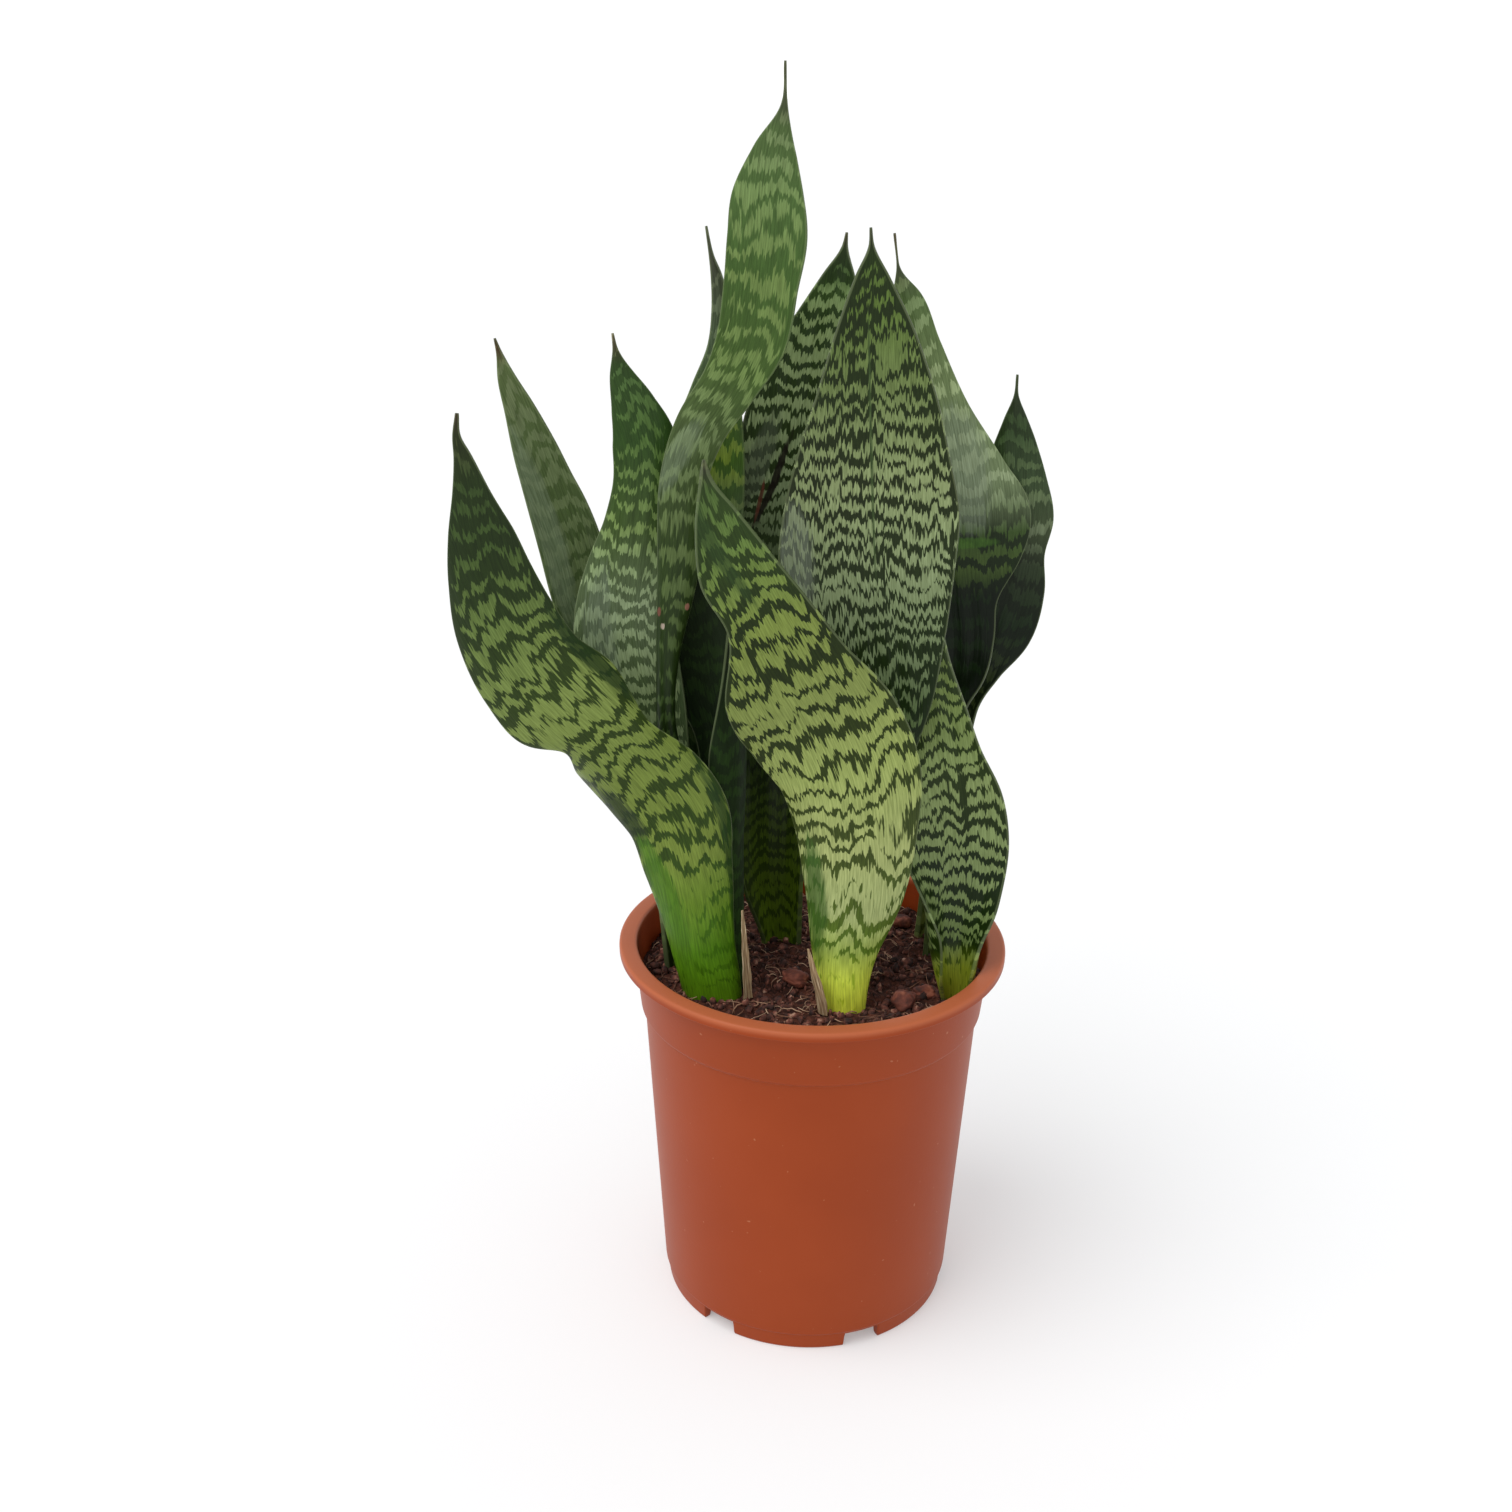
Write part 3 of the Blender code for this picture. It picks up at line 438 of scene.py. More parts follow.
brown = ramp(tree, sort, (0.34, "#22100B"), (0.50, "#4E291F"), (0.62, "#7A4636"), (0.72, "#B08A74"))
tree.links.new(brown, shader.inputs["Base Color"])
scatter("peat_crumbs", shapes, unit_faces, grit)

# The fibres of coir and old root, 4 to 12 mm long and up to 0.5 mm thick, each a bent four-sided thread.
fibre_x, fibre_y = spread(FIBRE_SPREAD, FIBRE_COUNT)
along = np.linspace(-1, 1, FIBRE_POINTS)[None, :]
heading = chance.uniform(0, 2 * np.pi, (FIBRE_COUNT, 1))
heading = heading + chance.uniform(-0.9, 0.9, (FIBRE_COUNT, 1)) * along
half_length = chance.uniform(2.0, 6.0, (FIBRE_COUNT, 1))
fibre_x = fibre_x[:, None] + half_length * along * np.cos(heading)
fibre_y = fibre_y[:, None] + half_length * along * np.sin(heading)
inward = np.minimum(1, (FIBRE_SPREAD + 0.5) / np.hypot(fibre_x, fibre_y))
fibre_x, fibre_y = fibre_x * inward, fibre_y * inward
fibre_z = soil_height(fibre_x, fibre_y) + 0.5 + chance.uniform(0, 0.8, (FIBRE_COUNT, 1)) * (1 - along**2)
thread = chance.uniform(0.10, 0.26, (FIBRE_COUNT, 1)) * (1.02 - along**2) ** 0.3
spin = np.arange(FIBRE_SIDES) * 2 * np.pi / FIBRE_SIDES
shapes = np.stack(
    [
        fibre_x[..., None] - np.sin(heading)[..., None] * thread[..., None] * np.cos(spin),
        fibre_y[..., None] + np.cos(heading)[..., None] * thread[..., None] * np.cos(spin),
        fibre_z[..., None] + thread[..., None] * np.sin(spin),
    ],
    axis=-1,
).reshape(FIBRE_COUNT, -1, 3)
coir, tree, shader = new_material("coir fibre", roughness=0.8)
tan = ramp(tree, object_noise(tree, 90.0, 1.0), (0.35, "#4A2A1E"), (0.5, "#8A6048"), (0.65, "#C2A084"))
tree.links.new(tan, shader.inputs["Base Color"])
scatter("coir_fibres", shapes, capped(FIBRE_POINTS, FIBRE_SIDES), coir)


# ------------------------------
# The chips lying on the soil: worn lumps of red bark, each a ball pushed in and out by lumps, flat below.
CHIP_SUNK = 0.2
CHIP_FLAT = 0.45


def chip(name, x, y, length, width, height, turn):
    """A bark chip: a ball whose radius is changed by lumps of two sizes, cut flat underneath and turned."""
    points, faces = ball(48, 32)
    bumps = 1 + 0.20 * lumps(points[:, 0] * 9 + x, points[:, 1] * 9 + points[:, 2] * 5 + y, 7.0, 21)
    bumps += 0.07 * lumps(points[:, 0] * 9 + y, points[:, 2] * 9 + points[:, 1] * 6 + x, 2.0, 22)
    points = points * bumps[:, None]
    points[:, 2] = np.maximum(points[:, 2], -CHIP_FLAT) + CHIP_FLAT
    points = points * (length / 2, width / 2, height / 1.6)
    a = math.radians(turn)
    spin = np.array([[math.cos(a), math.sin(a), 0], [-math.sin(a), math.cos(a), 0], [0, 0, 1]])
    piece = mesh_piece(name + "_worn", points @ spin + (x, y, SOIL_TOP - CHIP_SUNK), faces, bark)
    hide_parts(name)
    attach(piece, "root")


bark, tree, shader = new_material("worn red bark", roughness=0.8)
layers = object_noise(tree, 240.0, 5.0, Distortion=0.6)
red = ramp(tree, layers, (0.32, "#3A1A12"), (0.5, "#6E3626"), (0.68, "#9C5A42"))
tree.links.new(red, shader.inputs["Base Color"])
roughen(tree, shader, layers, 0.6, 0.001)
chip("bark_chip_1", 33.0, -27.5, 12.0, 8.5, 5.0, 70)
chip("bark_chip_2", 41.0, -20.0, 9.0, 7.0, 4.0, 20)
chip("bark_chip_3", -5.5, -14.0, 11.0, 8.0, 5.0, -30)
chip("bark_chip_4", -54.0, 18.0, 8.0, 5.5, 4.0, 75)
chip("bark_chip_5", 34.0, 34.0, 9.0, 6.5, 4.5, 10)


# ------------------------------
# The rhizomes are the short fleshy stems under the soil that the leaves grow from. They stay as the frame
# has them, with a cream skin ringed by old leaf scars.
cream, tree, shader = new_material("rhizome skin", roughness=0.55)
own_place = add_node(tree, "TexCoord").outputs["Object"]
scars = {"Vector": own_place, "Scale": 60.0, "Distortion": 3.0}
scars = add_node(tree, "TexWave", scars, bands_direction="Y").outputs["Fac"]
skin = ramp(tree, scars, (0.1, "#B98F57"), (0.4, "#E2CB9A"), (1.0, "#EAD9B4"))
tree.links.new(skin, shader.inputs["Base Color"])
for name in ("rhizome_left", "rhizome_centre", "rhizome_right"):
    frame["nodes"][name].data.materials.clear()
    frame["nodes"][name].data.materials.append(cream)


# ------------------------------
# The leaves: stiff fleshy blades that grow one by one from the rhizomes, thick and rolled at the foot,
# broad and shallow above, each ending in a short dry spine. This section holds how a blade is shaped.
USUAL_FOOT = 5.6
FOOT_SHARE = 0.4
BLADE_THICK = 2.4
EDGE_SHARE = 0.3
LEAF_RIPPLE = (0.6, 60.0)
LEAF_FURROW = 0.15
FURROW_SPACING = 7.0
FLATTEST = 1e-3


def chord_of(stations):
    """The distance along the blade at each station, in a straight line from one to the next."""
    middle = np.array(stations, float)[:, :3]
    return np.concatenate([[0.0], np.cumsum(np.linalg.norm(np.diff(middle, axis=0), axis=1))])


def eased(stations, along):
    """The stations' values along the blade: a cubic Hermite curve through each column."""
    rows, chord = np.array(stations, float), chord_of(stations)
    slope = np.gradient(rows, chord, axis=0)
    i = np.clip(np.searchsorted(chord, along, side="right") - 1, 0, len(chord) - 2)
    step = (chord[i + 1] - chord[i])[:, None]
    t = (along - chord[i])[:, None] / step
    start, end = 2 * t**3 - 3 * t**2 + 1, 3 * t**2 - 2 * t**3
    leave, arrive = t**3 - 2 * t**2 + t, t**3 - t**2
    return start * rows[i] + end * rows[i + 1] + step * (leave * slope[i] + arrive * slope[i + 1])


def blade_surface(stations, foot_thick, thick, ripple, furrow, rows=300, across=41):
    """The skin of a blade as a grid of points, each point's (across, along) mm and its mm from the margin.

    A station is the middle's x, y and z, the left and right half width, the way the front faces, turned
    from straight ahead, and the left and right bend. Each half of the section is an arc as long as that
    half's width that turns through its bend, so a point at share u lies w sin(bend u) / bend to the side
    and w (1 - cos(bend u)) / bend forward. The skin stands half the thickness off it. The ripple, a height
    and a wave length, moves the margins, and the furrow presses long channels into the front.
    """
    along = np.linspace(0, chord_of(stations)[-1], rows)
    row = eased(stations, along)
    middle, width = row[:, :3], np.maximum(row[:, 3:5], 0.35)
    tangent = np.gradient(middle, along, axis=0)
    tangent /= np.linalg.norm(tangent, axis=1)[:, None]
    face = np.radians(row[:, 5])
    front = np.stack([np.sin(face), -np.cos(face), 0 * face], axis=1)
    front -= (front * tangent).sum(axis=1)[:, None] * tangent
    front /= np.linalg.norm(front, axis=1)[:, None]
    side = np.cross(tangent, front)
    share = (along / along[-1])[:, None]
    body = thick + (foot_thick - thick) * np.clip(1 - share / FOOT_SHARE, 0, 1) ** 1.5
    body = np.minimum(body, 0.9 * width.sum(axis=1, keepdims=True))
    u = np.sin(np.linspace(-np.pi / 2, np.pi / 2, across))
    w = np.where(u < 0, width[:, :1], width[:, 1:])
    bend = np.radians(np.where(u < 0, row[:, 6:7], row[:, 7:8]))
    bend = np.where(np.abs(bend) < FLATTEST, FLATTEST, bend)
    turn = bend * np.abs(u)
    lateral = np.sign(u) * w * np.sin(turn) / bend
    forward = w * (1 - np.cos(turn)) / bend
    height, length = ripple
    broad = np.clip(w / 12.0, 0, 1)
    forward += height * broad * u**2 * np.sin(2 * np.pi * along[:, None] / length + 1.9 * np.sign(u))
    half = body / 2 * (EDGE_SHARE + (1 - EDGE_SHARE) * np.sqrt(np.maximum(1 - u**2, 0)))
    channel = np.cos(2 * np.pi * u * w / FURROW_SPACING + along[:, None] / 60)
    channel *= furrow * broad * (1 - u**2)
    points, places, margins = [], [], []
    for sign, order in ((1, slice(None)), (-1, slice(None, None, -1))):
        reach = sign * half + channel
        off_side = (lateral - np.sign(u) * np.sin(turn) * reach)[:, order, None]
        off_front = (forward + np.cos(turn) * reach)[:, order, None]
        points.append(middle[:, None] + off_side * side[:, None] + off_front * front[:, None])
        places.append(np.stack([u * w, along[:, None] + 0 * w], axis=-1)[:, order])
        margins.append((w * (1 - np.abs(u)))[:, order])
    return np.concatenate(points, 1), np.concatenate(places, 1), np.concatenate(margins, 1)


# How a leaf is coloured: its waxy skin is pale grey-green, crossed by dark green bands that run in waves
# and whose edges are torn into fine streaks along the fibres. The foot is plain, the spine dry and brown.
# Each pattern is a noise: the size of its spots across and along in mm, its detail, and where it is read.
BROAD_WAVES = (13.0, 30.0, 1.0, 1.7)
COLUMNS = (4.5, 60.0, 1.0, 5.3)
STREAKS = (0.9, 12.0, 3.0, 3.1)
STRIPS = (7.0, 50.0, 1.0, 7.7)
BLOTCHES = (11.0, 26.0, 1.0, 8.9)
GRAIN = (0.6, 4.0, 1.0, 9.9)
SPLITS = (1.6, 70.0, 1.0, 11.0)
FIBRES = (0.5, 9.0, 3.0, 15.0)
RIDGES = (1.1, 60.0, 2.0, 20.0)
STRIP_WIDTH = 7.5
STRIP_SWAY = 9.0
SPLIT_DARKENS = 0.25
MARGIN_DARKENS = 0.25


def leaf_finish(name, stations, tones, period, wave, jumps, soft, rough, patches):
    """A leaf's material, on its own (across, along) millimetres.

    tones are (height, pale, dark, share of dark) up the leaf. A band is where a sine and a noise along the
    leaf, both bent by broad waves, columns and fine streaks and jumping from strip to strip, fall below the
    share. patches are soft ovals (across, height, half width, half length, lean, colour, strength): marks,
    and on some leaves painted sheen and painted shade. Some leaves' tones hold painted sheen and shade too.
    """
    material, tree, shader = new_material("waxy skin of " + name, roughness=rough, specular_ior_level=0.16)
    chord = chord_of(stations)
    length = float(chord[-1])
    seed = float(sum(name.encode()) % 97)
    heights = np.array(stations, float)[:, 2]

    def share_at(z):
        return float(np.interp(z, heights, chord) / length)

    def math_of(operation, *values):
        return add_node(tree, "Math", dict(enumerate(values)), operation=operation).outputs[0]

    def noise(pattern):
        across_size, along_size, detail, shift = pattern
        spots = add_node(tree, "Mapping", {"Vector": place_on, "Location": (seed + shift, shift, 0.0)})
        spots.inputs["Scale"].default_value = (1 / across_size, 1 / along_size, 1.0)
        sockets = {"Vector": spots.outputs["Vector"], "Scale": 1.0, "Detail": detail}
        return add_node(tree, "TexNoise", sockets, noise_dimensions="2D").outputs["Fac"]

    def centred(value):
        return math_of("SUBTRACT", value, 0.5)

    def between(value, low, high):
        sockets = {"Value": value, "From Min": low, "From Max": high}
        return add_node(tree, "MapRange", sockets, interpolation_type="SMOOTHSTEP").outputs["Result"]

    place_on = add_node(tree, "UVMap", uv_map="blade").outputs["UV"]
    parts = add_node(tree, "SeparateXYZ", {"Vector": place_on}).outputs
    across, along = parts["X"], parts["Y"]
    up = math_of("DIVIDE", along, length)
    pale = ramp(tree, up, *((share_at(z), tint) for z, tint, _, _ in tones))
    dark = ramp(tree, up, *((share_at(z), shade) for z, _, shade, _ in tones))
    grey = ["#" + 3 * f"{round(255 * part):02X}" for _, _, _, part in tones]
    cover = ramp(tree, up, *((share_at(tone[0]), level) for tone, level in zip(tones, grey)))
    cover = add_node(tree, "Gamma", {"Color": cover, "Gamma": 1 / 2.2}).outputs["Color"]

    # The bands' own distance along the leaf, bent and jumping, and how dark the band is there.
    streak = noise(STREAKS)
    bent = math_of("MULTIPLY_ADD", noise(BROAD_WAVES), wave[0], along)
    bent = math_of("MULTIPLY_ADD", noise(COLUMNS), wave[1], bent)
    bent = math_of("MULTIPLY_ADD", streak, wave[2], bent)
    strip = math_of("ADD", across, math_of("MULTIPLY", noise(STRIPS), STRIP_SWAY))
    strip = math_of("ROUND", math_of("DIVIDE", strip, STRIP_WIDTH))
    jump = add_node(tree, "TexWhiteNoise", {"W": math_of("ADD", strip, seed)}, noise_dimensions="1D")
    bent = math_of("MULTIPLY_ADD", jump.outputs["Value"], jumps, bent)
    beat = math_of("SINE", math_of("MULTIPLY", bent, 2 * math.pi / period))
    own = {"W": math_of("DIVIDE", bent, 0.8 * period), "Scale": 1.0, "Detail": 1.0}
    drift = add_node(tree, "TexNoise", own, noise_dimensions="1D").outputs["Fac"]
    band = math_of("MULTIPLY_ADD", beat, 0.28, math_of("MULTIPLY_ADD", drift, 0.7, 0.15))

    # The level under which it is dark: more in blotches, splits and along the margin.
    level = math_of("MULTIPLY_ADD", noise(BLOTCHES), 0.5, math_of("SUBTRACT", cover, 0.25))
    level = math_of("MULTIPLY_ADD", centred(streak), 0.02 * wave[2], level)
    level = math_of("MULTIPLY_ADD", centred(noise(GRAIN)), 0.15, level)
    level = math_of("MULTIPLY_ADD", between(noise(SPLITS), 0.60, 0.68), SPLIT_DARKENS, level)
    edge = add_node(tree, "Attribute", attribute_name="margin").outputs["Fac"]
    level = math_of("MULTIPLY_ADD", between(edge, 2.6, 0.8), MARGIN_DARKENS, level)
    banded = between(math_of("SUBTRACT", level, band), -soft, soft)
    colour = mixed(tree, banded, pale, dark)

    for at, z, half_width, half_length, lean, tint, strength in patches:
        oval = add_node(tree, "Mapping", {"Vector": place_on}, vector_type="TEXTURE")
        oval.inputs["Location"].default_value = (at, share_at(z) * length, 0.0)
        oval.inputs["Rotation"].default_value = (0.0, 0.0, math.radians(lean))
        oval.inputs["Scale"].default_value = (half_width, half_length, 1.0)
        reach = add_node(tree, "VectorMath", {0: oval.outputs["Vector"]}, operation="LENGTH")
        ragged = math_of("SUBTRACT", reach.outputs["Value"], 0.4)
        ragged = math_of("MULTIPLY_ADD", streak, 0.8, ragged)
        inside = math_of("MULTIPLY", between(ragged, 1.15, 0.7), strength)
        colour = mixed(tree, inside, colour, linear(tint))
    fine = ramp(tree, noise(FIBRES), (0.3, "#CDD0C6"), (0.7, "#FFFFFF"))
    colour = mixed(tree, 1.0, colour, fine, "MULTIPLY")
    rim = math_of("MULTIPLY", between(edge, 0.5, 0.2), 0.28)
    tree.links.new(mixed(tree, rim, colour, linear("#7F8C62")), shader.inputs["Base Color"])
    roughen(tree, shader, math_of("MULTIPLY_ADD", banded, -0.3, noise(RIDGES)), 0.22, 0.0005)
    return material


def leaf(
    name,
    stations,
    tones,
    foot=USUAL_FOOT,
    period=9.0,
    wave=(14.0, 5.0, 5.0),
    jumps=3.0,
    soft=0.04,
    rough=0.38,
    patches=(),
):
    """One leaf: its surface, its finish, and its place in the plant."""
    points, places, margins = blade_surface(stations, foot, BLADE_THICK, LEAF_RIPPLE, LEAF_FURROW)
    finish = leaf_finish(name, stations, tones, period, wave, jumps, soft, rough, patches)
    faces = capped(*points.shape[:2])
    piece = mesh_piece(name + "_blade", points.reshape(-1, 3), faces, finish, places.reshape(-1, 2))
    margin = piece.data.attributes.new("margin", "FLOAT", "POINT")
    margin.data.foreach_set("value", margins.ravel().astype(np.float32))
    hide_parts(name)
    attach(piece, "root")


# ------------------------------
# The large leaf at the front left. It grows straight up from the pot, then bows out to the left, and its
# right half rolls away backwards on the bend. Its foot is a plain strong green.
leaf(
    "leaf_left_front",
    stations=[
        (-34, -29, 104, 9, 9, 0, -70, -70),
        (-34.5, -30, 130, 11.5, 11.5, 0, -60, -60),
        (-38, -30, 150, 12.5, 12.5, 0, -50, -50),
        (-43, -30, 180, 16.5, 16.5, 0, -40, -40),
        (-48, -30, 198, 17.5, 20.5, 0, -40, -40),
        (-55.5, -30, 210, 19.8, 20, 0, -45, -40),
        (-67, -30, 224, 21, 15.5, 0, -50, -45),
        (-73, -30, 230.5, 15, 17.5, 0, -30, -50),
        (-80, -30, 238, 23, 20, 0, -25, -50),
        (-92, -30, 252, 23.5, 17.2, 0, -25, -45),
        (-101, -30, 267, 19.8, 16.5, 0, -25, -35),
        (-106.5, -30, 282, 14.3, 14.5, 0, -25, -25),
        (-109.8, -30, 296, 9.3, 12, 0, -20, -20),
        (-112, -30, 310, 4.5, 7.3, 0, -10, -10),
        (-113.6, -30, 321, 1.8, 4, 0, 0, 0),
        (-114.2, -30, 327.5, 1.2, 1.4, 0, 0, 0),
        (-113.6, -30, 334.5, 0.6, 0.6, 0, 0, 0),
    ],
    tones=[
        (131, "#5E8C12", "#496E0A", 0.05),
        (150, "#4F7D13", "#406C0A", 0.25),
        (168, "#628120", "#3E600C", 0.3),
        (185, "#748737", "#30470D", 0.36),
        (215, "#6E7F37", "#293A0A", 0.36),
        (240, "#7B8C47", "#2E3F0F", 0.42),
        (268, "#63773B", "#24350E", 0.5),
        (292, "#3D5224", "#20300E", 0.66),
        (312, "#354820", "#223210", 0.60),
        (328, "#414629", "#283015", 0.5),
        (334, "#584B34", "#3D3321", 0.5),
    ],
    period=8.5,
    wave=(20.0, 8.0, 8.0),
    patches=[
        # The dark ovals along the margins, at 178, 206 and 246 mm, are painted shade on the flanks that
        # roll away.
        (-14.5, 206.0, 5.5, 15.0, 6.0, "#1E300D", 0.85),
        (-9.0, 170.0, 5.0, 28.0, 8.0, "#497214", 0.85),
        (16.0, 178.0, 3.0, 36.0, -4.0, "#1E3A10", 0.8),
        (15.5, 246.0, 3.2, 26.0, 3.0, "#1E3410", 0.85),
    ],
)


# ------------------------------
# The narrow leaf at the back left, leaning out. Its left half is painted a smooth grey, partly waxy bloom
# and partly painted sheen; its right half is darker and faintly banded, and its tip has died back brown.
leaf(
    "leaf_left_back",
    stations=[
        (-45, 10, 104, 5, 5, 0, 60, 60),
        (-46.5, 11, 130, 5.5, 5.5, 0, 60, 60),
        (-52, 14, 165, 7.5, 7.5, 0, 50, 50),
        (-64, 18, 205, 9, 9, 0, 40, 40),
        (-76, 21, 240, 10.5, 10.5, 0, 30, 30),
        (-83, 22.5, 260, 11, 11.5, 0, 25, 25),
        (-88, 24.5, 280, 11.2, 12, 0, 20, 20),
        (-92, 26, 292, 10.3, 10.9, 0, 20, 20),
        (-95.3, 27.2, 301, 9.3, 9.3, 0, 20, 20),
        (-99.5, 28.5, 312, 7.9, 8, 0, 20, 20),
        (-104.5, 30, 325, 5.5, 5.7, 0, 20, 20),
        (-109, 31, 336, 3.1, 3.3, 0, 20, 20),
        (-111.3, 31.6, 344.5, 1, 1, 0, 10, 10),
        (-112.6, 32, 349, 0.4, 0.4, 0, 10, 10),
    ],
    tones=[
        (131, "#304411", "#1E2D07", 0.5),
        (230, "#55633F", "#384925", 0.45),
        (280, "#586740", "#3E4F28", 0.45),
        (320, "#5F6D47", "#495A30", 0.45),
        (340, "#64704A", "#526137", 0.45),
        (345, "#685B3D", "#473621", 0.5),
        (349, "#4F3624", "#382618", 0.5),
    ],
    period=8.0,
    patches=[
        # The grey oval on the left half is waxy bloom with a painted sheen over it.
        (-6.0, 285.0, 5.0, 42.0, 0.0, "#6E7C62", 0.5),
    ],
)


# ------------------------------
# The grey-green leaf just left of the tallest one, with a waist under its pointed top. The pale grey of its
# lower half, in the tones near 230 to 265 mm and the oval there, is partly waxy bloom and partly painted
# sheen.
leaf(
    "leaf_left_inner",
    stations=[
        (-45, -4, 104, 6, 6, 0, 60, 60),
        (-47, -4, 130, 6.5, 6.5, 0, 60, 60),
        (-49, -3, 160, 8, 8, 0, 60, 60),
        (-54, -1, 195, 12, 12, 0, 40, 40),
        (-60.5, 1, 225, 16, 16, 0, 20, 20),
        (-66.5, 3, 258, 17.5, 17, 0, 0, 0),
        (-65, 4, 275, 15.3, 15, 0, -20, -10),
        (-62.5, 4.8, 292, 11, 12, 0, -25, -15),
        (-60.5, 5.5, 305, 9.7, 12, 0, -20, -15),
        (-60.3, 6.2, 320, 9.8, 11.5, 0, -15, -15),
        (-63.5, 6.7, 331, 7, 8.4, 0, -15, -15),
        (-67, 7.2, 341, 3.6, 4.7, 0, -15, -15),
        (-68.5, 7.5, 349.5, 0.9, 0.9, 0, -10, -10),
        (-69.3, 7.7, 354.5, 0.4, 0.4, 0, -10, -10),
    ],
    tones=[
        (131, "#3A4E16", "#202F08", 0.5),
        (230, "#8B9D6F", "#4C5E3A", 0.5),
        (265, "#9BAD84", "#5D6D4B", 0.5),
        (290, "#7E9656", "#415628", 0.55),
        (320, "#527033", "#2E4A19", 0.6),
        (345, "#486334", "#2D441B", 0.6),
        (352, "#7B7158", "#4A3F2F", 0.5),
    ],
    period=6.5,
    wave=(12.0, 5.0, 6.0),
    patches=[
        # The grey oval low on the left: waxy bloom with painted sheen.
        (-9.0, 250.0, 6.0, 26.0, 0.0, "#7A8774", 0.4),
    ],
)


# ------------------------------
# The young leaf that stands in the gap left of the middle, dull and rolled almost shut at its foot. Its
# near black green tones are painted shade from the gap it stands in.
leaf(
    "leaf_young",
    stations=[
        (-25.5, -18, 104, 6, 6, -80, 100, 100),
        (-25.5, -17.5, 130, 6.8, 6.8, -80, 100, 100),
        (-25.7, -14, 145, 9, 9, -80, 100, 110),
        (-26, -9.5, 165, 12, 12.5, -80, 95, 105),
        (-26.2, -6, 183, 16, 15.5, -80, 90, 100),
        (-25.7, -3.5, 202, 20, 18.5, -80, 85, 100),
        (-26, -2.5, 218, 24, 20, -75, 80, 98),
        (-29, -1, 237, 26, 18, -65, 80, 80),
        (-30.5, 0, 251, 24, 15, -60, 70, 70),
        (-33, 1, 268, 18, 12, -50, 60, 50),
        (-36, 2, 284, 9, 6.5, -40, 40, 40),
        (-38, 2.5, 296, 1, 1, -30, 20, 20),
        (-38.5, 2.7, 303, 0.4, 0.4, -30, 20, 20),
    ],
    # These dark tones are painted shade of the gap.
    tones=[
        (131, "#274211", "#1C320A", 0.5),
        (220, "#233B11", "#182A0C", 0.5),
        (280, "#1D2C0D", "#142108", 0.6),
        (300, "#353521", "#272519", 0.5),
    ],
    period=8.0,
    rough=0.7,
)


# ------------------------------
# The tallest leaf, which climbs in an S: it leans left, swings to the right half way up and ends upright.
leaf(
    "leaf_tall",
    stations=[
        (-36, -11, 104, 6, 6, 0, -70, -70),
        (-38, -12, 130, 6.5, 6.5, 0, -70, -70),
        (-43, -11.5, 165, 7, 7, 0, -70, -70),
        (-49.5, -10.5, 205, 6, 6, 0, -80, -80),
        (-51.5, -10, 230, 4.2, 3.4, 0, -80, -80),
        (-50.5, -9, 250, 4.8, 3.8, 0, -60, -60),
        (-48.5, -8.5, 270, 6.2, 6.4, 0, -40, -40),
        (-46, -7.5, 290, 8.5, 7.5, 0, -30, -30),
        (-44.5, -7, 308, 9.5, 6.5, 0, -40, -10),
        (-39, -6.5, 326, 9.5, 7.5, 0, -20, 0),
        (-29.5, -5.5, 341, 10, 8.5, 0, -10, 10),
        (-23.5, -5, 354, 11.5, 11, 0, 0, 20),
        (-20.5, -4.5, 372, 12, 12, 0, 0, 30),
        (-19, -4, 386, 12.5, 13, 0, -5, 30),
        (-18.5, -3, 398, 11.8, 11, 0, -10, 20),
        (-17, -2.5, 411, 7, 6.8, 0, -10, 10),
        (-14.3, -2, 424.5, 1.1, 1.1, 0, 0, 0),
        (-14.2, -1.5, 437, 0.4, 0.4, 0, 0, 0),
    ],
    tones=[
        (131, "#2F450E", "#1B2C06", 0.5),
        (230, "#405528", "#20310F", 0.6),
        (290, "#5C6E3E", "#2E4017", 0.55),
        (325, "#6A7C4F", "#45562D", 0.48),
        (345, "#6B8246", "#405823", 0.50),
        (375, "#6C8346", "#405C26", 0.52),
        (400, "#708850", "#47612F", 0.45),
        (418, "#6F8255", "#4F6537", 0.45),
        (424, "#606549", "#404930", 0.5),
        (434, "#525242", "#413E2E", 0.5),
    ],
    period=8.5,
    wave=(14.0, 5.0, 9.0),
    soft=0.10,
    patches=[
        # The grey oval at 316 mm is waxy bloom with a painted sheen; the three small ones are scars.
        (-5.0, 316.0, 4.0, 14.0, -15.0, "#7E8C74", 0.35),
        (4.2, 268.0, 0.8, 1.3, 0.0, "#A87262", 0.9),
        (-4.5, 265.0, 0.9, 1.6, 0.0, "#7A4A3C", 0.9),
        (-2.5, 260.5, 0.7, 1.2, 0.0, "#B9A79A", 0.9),
    ],
)


